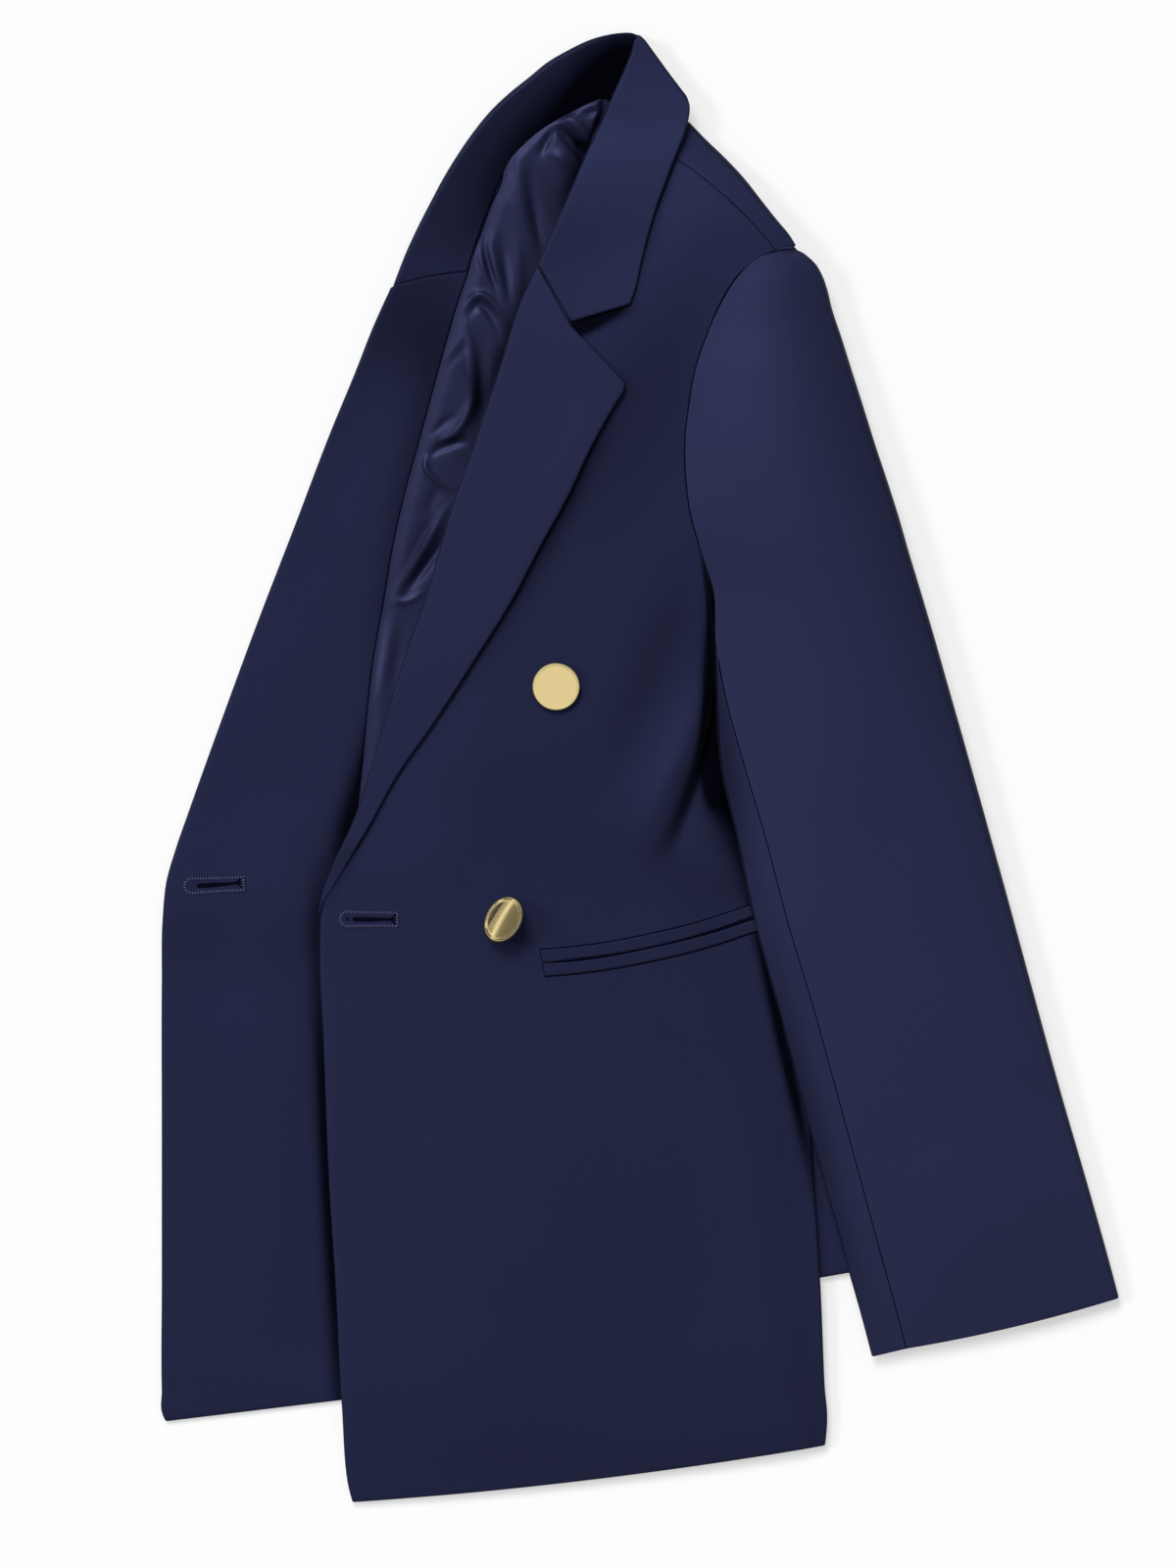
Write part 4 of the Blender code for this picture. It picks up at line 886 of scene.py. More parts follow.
def satin(name, colour):
    """Satin: a smooth shine, drawn out a little by fine threads that run down the cloth."""
    gloss = {"Specular IOR Level": 0.27, "Specular Tint": (0.42, 0.46, 1.0, 1.0)}
    made, tree, shader = principled(name, gloss)
    grain = node(tree, "ShaderNodeUVMap", {"uv_map": "grain"}).outputs[0]
    drawn = node(tree, "ShaderNodeVectorMath", {"operation": "MULTIPLY"}, i0=grain, i1=(1.0, 0.12, 1.0))
    threads = noise(tree, drawn.outputs[0], 1800.0)
    with_painted_shade(tree, shader, scaled(tree, colour, sloped(tree, threads, 0.16, 0.92)))
    tree.links.new(sloped(tree, threads, 0.10, 0.36), shader.inputs["Roughness"])
    bumped(tree, shader, sloped(tree, threads, 0.02, noise(tree, grain, 95.0)), 0.0002)
    return made


SATIN = (satin("satin", (0.0068, 0.0078, 0.0240)), "satin")


def lining_face(x, y):
    """The satin's face: a bed just above the shell, with its folds, kept under the roll line."""
    bed = shell_face(x, y) + LAYER_GAP + LINING_WALL
    from_seam = (x - down(LINING, "left_x", y, "left_y")) / LINING_EASE
    face = bed + LINING_AT_SEAM + (LINING_BED - LINING_AT_SEAM) * smooth(from_seam)
    face = face + soft_folds(x, y, LINING_FOLDS) * smooth(from_seam + 0.2)
    roll_x = down(BODY, "edge_x", y)
    ceiling = down(BODY, "edge_z", y) - LINING_UNDER_ROLL + 0.6 * np.maximum(roll_x - 1.0 - x, 0.0)
    return np.minimum(np.maximum(face, bed), np.maximum(ceiling, bed))


# Heights of the upper half's outer face: where it lies high on the layers below, and its fall to
# the front edge
BODY = columns(
    "y plateau edge_x edge_z reach",
    (372, 8, -16, 8, 60),
    (356, 12.5, -26, 12, 64),
    (340, 17, -32, 14.5, 68),
    (315, 21, -43, 16.4, 74),
    (283, 22.6, -57.2, 17.2, 77),
    (248, 23, -72.1, 16.8, 77),
    (206, 22.8, -85.2, 16.2, 77),
    (148, 22.2, -105.1, 15.4, 68),
    (103, 21.4, -118.3, 14.8, 56),
    (58, 20.2, -133.7, 14, 50),
    (14, 18.8, -147.4, 12.8, 52),
    (-29, 16.8, -161.2, 11.2, 58),
    (-60, 15.2, -176, 9.9, 64),
    (-80, 14.4, -179.9, 8.9, 70),
    (-110, 13.6, -179.9, 7.9, 70),
    (-151, 13, -177.7, 7.6, 70),
    (-228, 12.4, -174.9, 7.5, 70),
    (-300, 11.8, -170.6, 7.5, 70),
    (-345, 11.2, -168.2, 7.3, 70),
    (-375, 9.6, -166.5, 6.4, 70),
    (-400, 7.4, -164.3, 5.4, 70),
    (-420, 5.8, -160, 4.6, 70),
)
satin_face = Pattern(LINING, 440).face(lining_face, 56)
lining = cloth("lining", satin_face, SATIN, LINING_WALL)
paint_shade(lining, LINING_PAINTED_SHADE)
# A cord of painted shadow along the satin's seam with the facing
seam_shadow("lining_seam_shadow", smoothed(side_of(LINING, "left"), 150), under_face, 0.2, LINING_SEAM_CORD)

# The left front: the outer half's main panel, from the shoulder seam to the hem. It rides high
# over the folded layers, rolls at its front edge, and drops into a hollow at the waist.

EDGE_LEAST = 0.6
EDGE_ROLL = 1.8
SIDE_ROLL = 2.2
SIDE_FALLS_BELOW = 150.0

# From the brow of the fall to its foot, and on to where it goes under the sleeve
SIDE = columns(
    "y brow_x foot_x foot_z end_x end_z",
    (150, 24, 37, 22, 60, 21.6),
    (134, 30, 38.5, 18.6, 60, 17),
    (118, 34, 39.5, 13, 58, 10),
    (102, 36.3, 41.2, 9, 56, 7.6),
    (80, 38.6, 43, 7.6, 52, 7),
    (58, 39.6, 44, 7.4, 52, 7),
    (36, 37, 41.6, 7.6, 50, 6.9),
    (14, 32.6, 37.6, 8.6, 50, 6.9),
    (-8, 25.8, 31.8, 10.6, 52, 6.9),
    (-30, 16.2, 25, 12.9, 57, 7),
    (-44, 6, 22, 13.6, 62, 7.2),
    (-58, -4, 34, 12.4, 70, 7.8),
    (-74, -6, 52, 9.8, 80, 8.2),
    (-96, 6, 62, 8.9, 90, 8.7),
    (-140, 34, 80, 9.2, 100, 9.2),
    (-228, 62, 97, 9.6, 120, 9.6),
    (-292, 68, 101, 9.6, 124, 9.6),
    (-325, 74, 102.5, 9.2, 124, 9.2),
    (-352, 80, 104, 8.4, 124, 8.4),
    (-378, 88, 105, 7.2, 124, 7.2),
    (-420, 92, 105, 5.6, 124, 5.6),
)
FRONT_FOLDS = bands(
    (-120, -60, -118, -150, -122, -260, -0.7, 24),
    (-60, -120, -50, -220, -40, -330, 0.5, 34),
    (-130, 20, -100, -20, -84, -70, -0.4, 16),
    (20, 92, 6, 30, -22, -30, -1.8, 14),
    (35, 50, 25, 4, -4, -52, 2.5, 9),
    (0, -30, -6, -62, 20, -84, -0.7, 12),
    (20, -160, 30, -240, 40, -340, -0.4, 20),
)


def front_face(x, y):
    """Height of the left front's outer face: a plateau that falls to its front edge and side."""
    edge_z = down(BODY, "edge_z", y)
    t = np.clip((x - down(BODY, "edge_x", y)) / down(BODY, "reach", y), 0.0, 1.2)
    rise = t - np.maximum(t - 0.8, 0.0) ** 2 / 0.8
    face = edge_z + (down(BODY, "plateau", y) - edge_z) * rise
    brow, foot = down(SIDE, "brow_x", y), down(SIDE, "foot_x", y)
    foot_z, end_z = down(SIDE, "foot_z", y), down(SIDE, "end_z", y)
    beyond = np.clip((x - foot) / (down(SIDE, "end_x", y) - foot), 0.0, 1.0)
    low = np.minimum(foot_z + (end_z - foot_z) * beyond**2, face)
    falls = smooth((foot - x) / (foot - brow))
    return np.where(y > SIDE_FALLS_BELOW, face, low + (face - low) * falls)


def spread_of(height, x, y, pick, reach):
    """The lowest or highest of a face over a small square round each point."""
    shifts = [(i * reach, j * reach) for i in (-1, 0, 1) for j in (-1, 0, 1)]
    return pick([height(x + dx, y + dy) for dx, dy in shifts], axis=0)


def front_draped(x, y):
    """The left front's face with its soft folds."""
    return front_face(x, y) + soft_folds(x, y, FRONT_FOLDS)


def opening_roll(side, begins, run, roll):
    """A side that is nearly a bare edge, and opens into a roll below the height that begins it."""
    opened = smooth((begins - side[:, 1]) / run)
    return (EDGE_LEAST + (roll - EDGE_LEAST) * opened, 25, 0.3, 1, 7)


LEFT_FRONT = columns(
    "left_x left_y right_x right_y bow",
    (12.5, 348, 76.2, 290.6, 3.6),
    (2, 334.5, 65.6, 286.1, 2),
    (-10, 317.5, 53.8, 275.4, 1),
    (-22, 301.5, 45.2, 261.8, 0.5),
    (-36, 287, 38.1, 245.3, 0),
    (-57.5, 270.5, 31.6, 226.9, 0),
    (-69, 247.5, 27.1, 204, 0),
    (-76.5, 223, 24.8, 180, 0),
    (-86.4, 193, 25.6, 160, 0),
    (-95, 168, 28.6, 140.1, 0),
    (-104, 142, 34.1, 122.2, 0),
    (-114, 107.5, 43.5, 99.1, 0),
    (-124, 77, 48.5, 73, 0),
    (-133.5, 49, 52, 50, 0),
    (-144, 15, 55, 14, 0),
    (-154.8, -20, 61, -22, 0),
    (-167.6, -50, 68, -58, 0),
    (-178.2, -76, 76, -88, 0),
    (-179.9, -104, 84, -120, 0),
    (-178, -150, 92.5, -165, 0),
    (-175, -228, 97.6, -228, 0),
    (-171, -292, 101.5, -290, 0),
    (-167.6, -358, 103.8, -345, -1.5),
    (-163.8, -404, 105.1, -371, -3),
    (-161.6, -412.2, 104.2, -380, -3.4),
)
front = Pattern(LEFT_FRONT, 290)
break_turn = opening_roll(front.left, -58.0, 24.0, EDGE_ROLL)
side_turn = opening_roll(front.right, 80.0, 30.0, SIDE_ROLL)
front_side = front.face(front_draped, 100, left=break_turn, right=side_turn, crowd=0.12)
left_front = cloth("left_front", front_side, SUITING)
# Painted shade on the front: beside the lapel and under the collar's end, in the hollow at the waist, and
# along the sleeve's inner edge
FRONT_PAINTED_SHADE = bands(
    (-6, 232, -42, 134, -130, 8, 0.7, 10),
    (-50, 242, -28, 250, 0, 262, 1.6, 4.5),
    (-50, 238, -38, 246, -20, 252, 1.3, 4),
    (-12, 250, 0, 300, 32, 378, 0.5, 6),
    (30, 310, 6, 210, -50, 110, 0.32, 36),
    (-184, -84, -168, -52, -142, -16, 0.7, 4),
    (43, 140, 44, 60, 46, -38, 1.9, 6),
    (41.5, 90, 41, 22, 39, -30, 2.6, 5),
    (45, 50, 45, -15, 66, -80, 0.9, 10),
    (42, 40, 32, -12, 8, -56, 0.5, 5),
    (52, -30, 80, -150, 106, -270, 1.3, 4),
    (30, 140, 16, 70, -6, 0, 0.24, 15),
    (46, 60, 43, 22, 42, -24, 2, 4.5),
)
paint_shade(left_front, FRONT_PAINTED_SHADE)

# The back: the strip of suiting that shows above the shoulder seam. It is sewn to the front along
# that seam, and turned down over the shoulder's edge.

BACK = columns(
    "seam_share right_x right_y roll",
    (0, 27.4, 364.4, 3.8),
    (0.12, 36.9, 354.3, 5.4),
    (0.26, 47.4, 344, 6.4),
    (0.40, 57.8, 332.8, 7),
    (0.56, 67.4, 320.4, 7),
    (0.73, 76.4, 308.8, 6.8),
    (0.88, 83.6, 299.8, 4),
    (1, 87.4, 293.4, 1),
)


def shoulder_line(share):
    """The seam between front and back: the first row of the left front, a seam's gap away."""
    start, end = front.left[0], front.right[0]
    across = square_to((end - start) / front.width[0])
    out = front.bow[0] * 4 * share * (1 - share) + 2 * SEAM_GAP
    return start + (end - start) * share[:, None] + across * out[:, None]


def back_face(x, y):
    """The back's outer face, level with the front at the seam and lower at the outline."""
    line = shoulder_line(np.append(BACK["seam_share"], 1.25))
    away = np.maximum(y - through(line[:, 0], line[:, 1], x), 0.0)
    return front_face(x, y) - 0.1 * away


BACK["left_x"], BACK["left_y"] = shoulder_line(BACK["seam_share"]).T
back_pattern = Pattern(BACK, 70)
back_turn = (back_pattern.read("roll"), 50, 0.6, 2, 12)
back = cloth("back", back_pattern.face(back_face, 16, right=back_turn), SUITING)

# The left sleeve, in two pieces: the top sleeve from the armhole round the outer line, and the
# under sleeve from the seam near the inner line round the underside. The cuff is open.

SLEEVE = columns(
    "left_x left_y right_x right_y inner_top outer_top outer_low crown",
    (86.4, 291.6, 92, 289.4, 21.4, 19.4, 7, 0),
    (76.8, 290.8, 97.5, 284.8, 21.8, 18.6, 5, 0.8),
    (66, 286.5, 101.5, 279, 22.3, 18, 4, 1.8),
    (55, 276, 105, 270, 22.6, 17.6, 3.4, 2.9),
    (46, 262, 108, 258, 22.8, 17.4, 3, 3.6),
    (38.5, 245.5, 113, 243, 23, 17.4, 3, 4.4),
    (32, 227, 118, 227, 23, 18, 3, 5.5),
    (27.5, 204, 125, 205, 22.8, 18.6, 3, 6.2),
    (25.2, 180, 132.5, 181, 22.6, 19, 3, 6.8),
    (26, 160, 139, 161.5, 22.2, 19.4, 3, 7),
    (29, 140, 145.5, 141, 21.8, 19.6, 3, 7),
    (34.5, 122, 150.5, 123.5, 21, 19.6, 3, 7),
    (41.5, 99, 157, 102, 19.6, 19.4, 3, 7),
    (42.2, 70, 165, 75, 18.2, 19.2, 3, 6.8),
    (42.8, 40, 173, 47, 17.6, 19, 2.8, 6.5),
    (45, 3, 183, 12, 17.2, 18.4, 2.6, 6.2),
    (55, -41.2, 194.5, -29, 16.8, 17.6, 2.4, 5.7),
    (64.4, -85, 205.5, -68.5, 16.4, 16.8, 2.2, 5.5),
    (79.2, -140, 219, -118, 15.8, 16, 2, 4.9),
    (96.5, -206, 235.5, -178, 14.8, 14.8, 1.6, 4.2),
    (114.4, -272, 253.5, -240, 13.2, 13.4, 1, 3.4),
    (125.4, -311, 264.5, -279, 11.4, 11.6, 0.4, 2.1),
    (130.4, -330, 269.3, -297, 10.2, 10.2, 0.2, 1.3),
)
SLEEVE["tilt"] = SLEEVE["right_y"] - SLEEVE["left_y"]
ARMHOLE_ROWS = 13
ARMHOLE_GAP = 0.3

# The seam on top of the sleeve, by its distance from the inner line
SLEEVE_SEAM = columns(
    "y inset",
    (76, 0.4),
    (66, 0.8),
    (56, 1.8),
    (44, 4.4),
    (27, 8.6),
    (12, 11.6),
    (-3, 13.8),
    (-33, 15.4),
    (-70, 17.2),
    (-120, 18.8),
    (-157, 19.5),
    (-238, 20),
    (-330, 19.7),
)
FLOOR_GAP = 0.2
DRAPE = 26.0
SIDE_CARRIES = 4.4
# The sleeves wear a lit copy of the suiting, as painted light: the same navy made brighter, and a little
# glossier
SLEEVE_NAVY_LIT = (0.0107, 0.0119, 0.0294)
SLEEVE_SPECULAR_LIT = 0.32
SLEEVE_CLOTH_LIT = (woven("suiting_sleeve_lit", SLEEVE_NAVY_LIT, SLEEVE_SPECULAR_LIT), "suiting")
# Painted shade down the top sleeve's outer side
SLEEVE_PAINTED_SHADE = bands(
    (84, 330, 132, 180, 200, -30, 0.20, 24),
    (150, 130, 196, 0, 250, -190, 0.14, 20),
)
SLEEVE_FOLDS = bands(
    (70, 250, 78, 160, 100, 60, 0.7, 22),
    (120, 40, 140, -60, 176, -180, -0.5, 24),
    (84, 0, 104, -90, 140, -220, 0.5, 18),
    (190, -140, 206, -200, 226, -280, 0.3, 16),
)


def sleeve_place(x, y):
    """Fraction from the inner line to the outer one, and the height of that row's inner end."""
    left, right = down(SLEEVE, "left_x", y, "left_y"), down(SLEEVE, "right_x", y, "right_y")
    share = np.clip((x - left) / np.maximum(right - left, 1.0), 0.0, 1.0)
    return share, y - share * down(SLEEVE, "tilt", y, "left_y")


def sleeve_face(x, y):
    """Height of the sleeve's upper face: a low crown between its two edges."""
    share, row_y = sleeve_place(x, y)
    inner, outer, crown = (
        down(SLEEVE, name, row_y, "left_y") for name in ("inner_top", "outer_top", "crown")
    )
    return inner + (outer - inner) * share + crown * np.sin(math.pi * share**1.1)


def sleeve_draped(x, y):
    """The sleeve's upper face with its soft folds."""
    return sleeve_face(x, y) + soft_folds(x, y, SLEEVE_FOLDS)


def sleeve_floor(x, y):
    """Height of the sleeve's underside: over the side, over the right sleeve, then the sheet."""
    share, row_y = sleeve_place(x, y)
    outer = down(SLEEVE, "outer_low", row_y, "left_y")
    lower_edge = down(RIGHT_SLEEVE, "right_x", y, "right_y")
    lies_over = smooth((row_y + 345) / 32.0) * smooth((lower_edge + DRAPE - x) / (DRAPE - 4.0))
    over_sleeve = RIGHT_SLEEVE_TOP + LAYER_GAP + SEAM_GAP
    middle = FLOOR_GAP + (over_sleeve - FLOOR_GAP) * lies_over
    over_side = smooth((row_y + 262) / 30.0) * smooth(1.35 - share * 6.0) * SIDE_CARRIES
    return middle + over_side + (outer - middle) * smooth((share - 0.72) / 0.26)


def inset_left(table, inset):
    """A sleeve table with its left edge moved in along each row."""
    left, right = side_of(table, "left"), side_of(table, "right")
    return {**table, **between(left + unit(right - left) * inset[:, None], right)}


def outer_radius(pattern):
    """Radius of the tube's outer edge on each row."""
    return (pattern.read("outer_top") - pattern.read("outer_low")) / 2


seam_inset = np.where(
    np.arange(len(SLEEVE["left_y"])) < ARMHOLE_ROWS,
    ARMHOLE_GAP,
    through(-SLEEVE_SEAM["y"], SLEEVE_SEAM["inset"], -SLEEVE["left_y"]) + SEAM_GAP,
)
top_table = inset_left(SLEEVE, seam_inset)
top_table["bow"] = -2.0 * smooth((-200 - SLEEVE["left_y"]) / 130.0)
top_sleeve = Pattern(top_table, 250)
top_turn = (outer_radius(top_sleeve), 70, 0.8, 1, 18)
top_side = top_sleeve.face(sleeve_draped, 60, right=top_turn)
left_sleeve_top = cloth("left_sleeve_top", top_side, SLEEVE_CLOTH_LIT)
paint_shade(left_sleeve_top, SLEEVE_PAINTED_SHADE)

tube = {name: values[ARMHOLE_ROWS:] for name, values in SLEEVE.items()}
tube["bow"] = np.zeros(len(tube["left_y"]))
under_sleeve = Pattern(tube, 170)
inner_x, inner_y = under_sleeve.left[:, 0] + 3, under_sleeve.left[:, 1]
inner_radius = (sleeve_face(inner_x, inner_y) - sleeve_floor(inner_x, inner_y)) / 2
under_leg = under_sleeve.width - inner_radius - outer_radius(under_sleeve) - 3.0
strip = np.maximum(through(-SLEEVE_SEAM["y"], SLEEVE_SEAM["inset"], -inner_y) - SEAM_GAP, 1.2)
inner_radius = np.minimum(inner_radius, 0.85 * strip / SHARPER)
under_sleeve.right = under_sleeve.left + unit(under_sleeve.right - under_sleeve.left) * strip[:, None]
under_sleeve.width = strip
under_turn = (inner_radius, 90, under_leg, 46, 14)
under_side = under_sleeve.face(sleeve_draped, 10, left=under_turn, under=sleeve_floor)
left_sleeve_under = cloth("left_sleeve_under", under_side, SLEEVE_CLOTH_LIT)
# Painted shade along the under sleeve's strip, beside its inner edge
STRIP_PAINTED_SHADE = bands(
    (40, 100, 42, 10, 64, -90, 0.6, 10),
    (54, -40, 90, -190, 134, -350, 0.5, 11),
)
paint_shade(left_sleeve_under, STRIP_PAINTED_SHADE)

# The backs and linings, folded between the two halves and out of sight: a stack of soft folds
# that carries the upper half. Each fold is one sheet, turned under at both of its sides.

CORE = columns(
    "left_x left_y right_x right_y",
    (4, 349, 20, 353),
    (-4, 334, 40, 336),
    (-13, 316, 58, 314),
    (-24, 296, 77, 289),
    (-35, 272, 90, 268),
    (-48, 236, 104, 228),
    (-62, 192, 119, 182),
    (-80, 136, 136, 124),
    (-90, 103, 140, 100),
    (-95, 92, 26, 90),
    (-106, 54, 34, 50),
    (-117, 20, 34, 20),
    (-130, -20, 32, -20),
    (-145, -60, 38, -62),
    (-152, -100, 46, -104),
    (-152, -160, 54, -165),
    (-149, -228, 60, -228),
    (-146, -280, 70, -284),
    (-144, -320, 96, -312),
    (-145, -352, 98, -345),
    (-150, -372, 99, -362),
    (-156, -401, 99, -371),
    (-156.5, -408, 98.5, -376.5),
)
CORE_CLEAR = 1.1
LAYERS = 3
LAYER_WALL = 0.8
CORE_REACH = 9.0
CORE_LEAST = 2.4
ARMHOLE_END = 95.0


def upper_face(x, y):
    """Height of whatever cloth of the left half lies on top, the turned pieces left out."""
    armhole_x = down(SLEEVE, "left_x", y, "left_y")
    beyond = (x > armhole_x) & (y > ARMHOLE_END)
    return np.where(beyond, sleeve_face(x, y), front_face(x, y))


def core_top(x, y):
    """Top of the folds: a wall and a gap below the lowest cloth near each point."""
    return np.maximum(spread_of(upper_face, x, y, np.min, CORE_REACH) - WALL - CORE_CLEAR, CORE_LEAST)


for k in range(LAYERS):
    rows = None if k == 0 else -2
    fold = Pattern({name: values[:rows] for name, values in CORE.items()}, 90)
    rounds = [0.46 * core_top(*side.T) / LAYERS for side in (fold.left, fold.right)]
    left_turn, right_turn = ((radius, 90, 24.0, 3, 7) for radius in rounds)
    level = (k + 1) / LAYERS
    layer_side = fold.face(lambda x, y: core_top(x, y) * level, 30, left_turn, right_turn)
    layer = cloth(
        f"folded_layer_{k + 1}", layer_side, SUITING_INSIDE, LAYER_WALL, stands_for="folded_layers"
    )

# The seam allowances: narrow strips of the suiting, pressed open under the shoulder seam, the
# armhole and the neck seam. They are sewn into those seams and close the gaps below them.

ALLOWANCE = 7.0
ALLOWANCE_WALL = 0.7
ALLOWANCE_CLEAR = 0.2


def allowance(name, line, height):
    """A thin strip of cloth along a line, as wide on both of its sides, a little below the walls."""
    across = square_to(unit(np.gradient(line, axis=0)))
    places = np.linspace(-ALLOWANCE, ALLOWANCE, 9)
    plan = line[:, None] + across[:, None] * places[None, :, None]
    grid = raised(plan, height(plan[..., 0], plan[..., 1]) - WALL - ALLOWANCE_CLEAR)
    piece = cloth(name, grid, SUITING_INSIDE, ALLOWANCE_WALL, stands_for="")


def lower_side(x, y):
    """The lower of the front's face and the sleeve's."""
    return np.minimum(front_face(x, y), sleeve_face(x, y))


shoulder = shoulder_line(np.linspace(0.02, 0.985, 40)) - 0.3
allowance("shoulder_allowance", shoulder, front_face)
armhole = Pattern({name: values[:ARMHOLE_ROWS] for name, values in SLEEVE.items()}, 90).left
armhole = armhole[(armhole[:, 1] > 124) & (armhole[:, 0] < 76)]
allowance("armhole_allowance", armhole, lower_side)
allowance("neck_allowance", side_of(LINING, "left"), under_level)

# The left lapel: the facing turned out along the roll line, lying on the front with its peak
# short of the notch, and folded back under the front's edge for a few millimetres.

LAPEL_ROLL = 3.15
LAPEL_GAP = 0.85
LAPEL_SPRING = 1.8
LEFT_LAPEL = columns(
    "left_x left_y right_x right_y bow",
    (-57.6, 282.3, -9.2, 217, -5.2),
    (-62, 273.5, -9.6, 212.5, -3.5),
    (-67.7, 260.8, -14, 205.5, -1.5),
    (-72.1, 247.5, -20.5, 194.5, -0.5),
    (-78.7, 225.5, -30, 176.5, 0),
    (-85.2, 206.3, -39.5, 156, 0),
    (-96.3, 173.2, -56.5, 125, 0),
    (-105.1, 148.5, -70, 99, 0),
    (-118.3, 102.9, -92, 63.5, 0),
    (-133.7, 57.8, -116, 26.5, 0),
    (-147.4, 13.8, -136, -2, 0),
    (-161.2, -29.2, -153.5, -33, 0),
    (-171.8, -52, -166.6, -55, 0),
    (-176.2, -63, -172.6, -65, 0),
    (-179, -72, -177.2, -73, 0),
    (-180.6, -80.5, -180.2, -80.9, 0),
)
# A faint painted shade over the lapel
LAPEL_PAINTED_SHADE = bands(
    (-20, 310, -80, 140, -180, -110, 0.09, 60),
)


def lapel_face(x, y):
    """The lapel's upper face, a wall and a gap above the front that it lies on."""
    springs = np.clip((x - down(BODY, "edge_x", y)) / 70.0, 0.0, 1.0) * smooth((y + 40) / 120.0)
    stands = (LAPEL_GAP + WALL) * (1 - 0.92 * smooth((-38.0 - y) / 26.0))
    rests = spread_of(front_face, x, y, np.max, 4.0) + stands
    return rests + LAPEL_SPRING * springs


lapel = Pattern(LEFT_LAPEL, 190)
whole = smooth((lapel.width - 0.8) / 9.0)
lapel_roll, lapel_leg = 0.5 + (LAPEL_ROLL - 0.5) * whole, 0.4 + 7.6 * whole
lapel_turn = (lapel_roll, 88, lapel_leg, 4, 12)
lapel_side = lapel.face(lapel_face, 40, left=lapel_turn, apex=0.47)
left_lapel = cloth("left_lapel", lapel_side, SUITING)
paint_shade(left_lapel, LAPEL_PAINTED_SHADE)

# The left half of the collar: its fall, turned down along the roll line over the shoulder, with
# the fold of the centre back at its upper end.

COLLAR_ROLL = 3.2
COLLAR_LEFT = columns(
    "left_x left_y right_x right_y bow",
    (5.2, 404, 24, 380.4, -0.4),
    (3.6, 408.2, 26, 377.8, -0.2),
    (0.6, 411.4, 27, 375, 0),
    (-2.6, 409.6, 27.4, 371.6, 0),
    (-4.6, 403.4, 26.9, 366.4, 0),
    (-8.4, 394, 24.8, 358, 0),
    (-15.4, 378.4, 18.9, 343, 0),
    (-22.6, 361.4, 14, 330, 0),
    (-29.2, 347.6, 10.2, 320, 0),
    (-40.2, 321.8, 4, 300, -2),
    (-46.5, 307.5, 0, 284, -7),
    (-52, 295, -3.6, 268, -14),
    (-57, 284, -6.2, 260.9, -22),
)

# Height of the fall along its roll
COLLAR_LIFT = columns(
    "y lift",
    (415, 13.2),
    (385, 14.2),
    (362, 16.5),
    (345, 19.2),
    (322, 21.3),
    (300, 21.2),
    (283, 20.2),
    (250, 19.4),
)
COLLAR_TILT = 0.028
COLLAR_BLEND = 1.6


def collar_face(x, y):
    """The fall's upper face: high along the roll, down to the cloth it lies on at its edge."""
    roll_x = down(COLLAR_LEFT, "left_x", y, "left_y")
    high = down(COLLAR_LIFT, "lift", y)
    rests = spread_of(upper_face, x, y, np.max, 3.0) + LAYER_GAP + WALL
    rests = rests + (high - rests) * smooth((y - 348.0) / 26.0)
    free = high + COLLAR_TILT * (x - roll_x)
    return (free + rests + np.sqrt((free - rests) ** 2 + COLLAR_BLEND**2)) / 2


fall = Pattern(COLLAR_LEFT, 110, top_roll=COLLAR_ROLL)
from_fold = smooth(fall.places / 30.0)
fall_turn = (2.4 + (COLLAR_ROLL - 2.4) * from_fold, 15 + 65 * from_fold, 0.4 + 4 * from_fold, 3, 11)
fall_side = fall.face(collar_face, 40, left=fall_turn, apex=0.546)
collar_left = cloth("collar_left", fall_side, SUITING)

# The stand under the fall: the upright band of the collar, cut from the suiting. It rises from
# the neck seam, carries the fall along its top, and turns down at the centre back.

STAND_LINE = columns(
    "x y low",
    (5, 402, 5.6),
    (14, 390.6, 5.6),
    (21.6, 378.4, 1),
    (24, 371, 0.3),
    (23, 364.6, 0.3),
    (17.6, 357, 0.3),
    (10.4, 348.4, 0.3),
    (1, 336.4, 0.4),
    (-10.6, 320, 0.5),
    (-22.6, 304.2, 2),
    (-34, 292.4, 6),
    (-42, 288, 10),
)
STAND_WALL = 1.2
STAND_CLEAR = 0.3


def stand_of_collar(steps):
    """A wall on edge: each section is a thin upright oblong, square to the line."""
    knots = np.stack([STAND_LINE[name] for name in ("x", "y", "low")], axis=1)
    x, y, low = smoothed(knots, steps).T
    plan = np.stack([x, y], axis=1)
    side = square_to(unit(np.gradient(plan, axis=0))) * STAND_WALL / 2
    top = spread_of(collar_face, x, y, np.min, 1.5) - WALL - STAND_CLEAR
    corners = [(plan - side, low), (plan + side, low), (plan + side, top), (plan - side, top)]
    points = np.stack([raised(at, z) for at, z in corners], axis=1).reshape(-1, 3)
    index = looped(np.arange(4 * steps).reshape(steps, 4))
    faces = np.concatenate([cells(index, back=True), index[:1, 3::-1], index[-1:, :4]])
    return make_mesh("collar_stand", points, faces, SUITING_INSIDE, points[:, 1:])


collar_stand = stand_of_collar(60)

# The jetted pocket: two narrow welts of the suiting, sewn into a slash in the front, with fine
# seams round them, drawn as cords of painted shadow. The slash shows as a thin dark gap of painted
# shade that widens towards both of its ends.

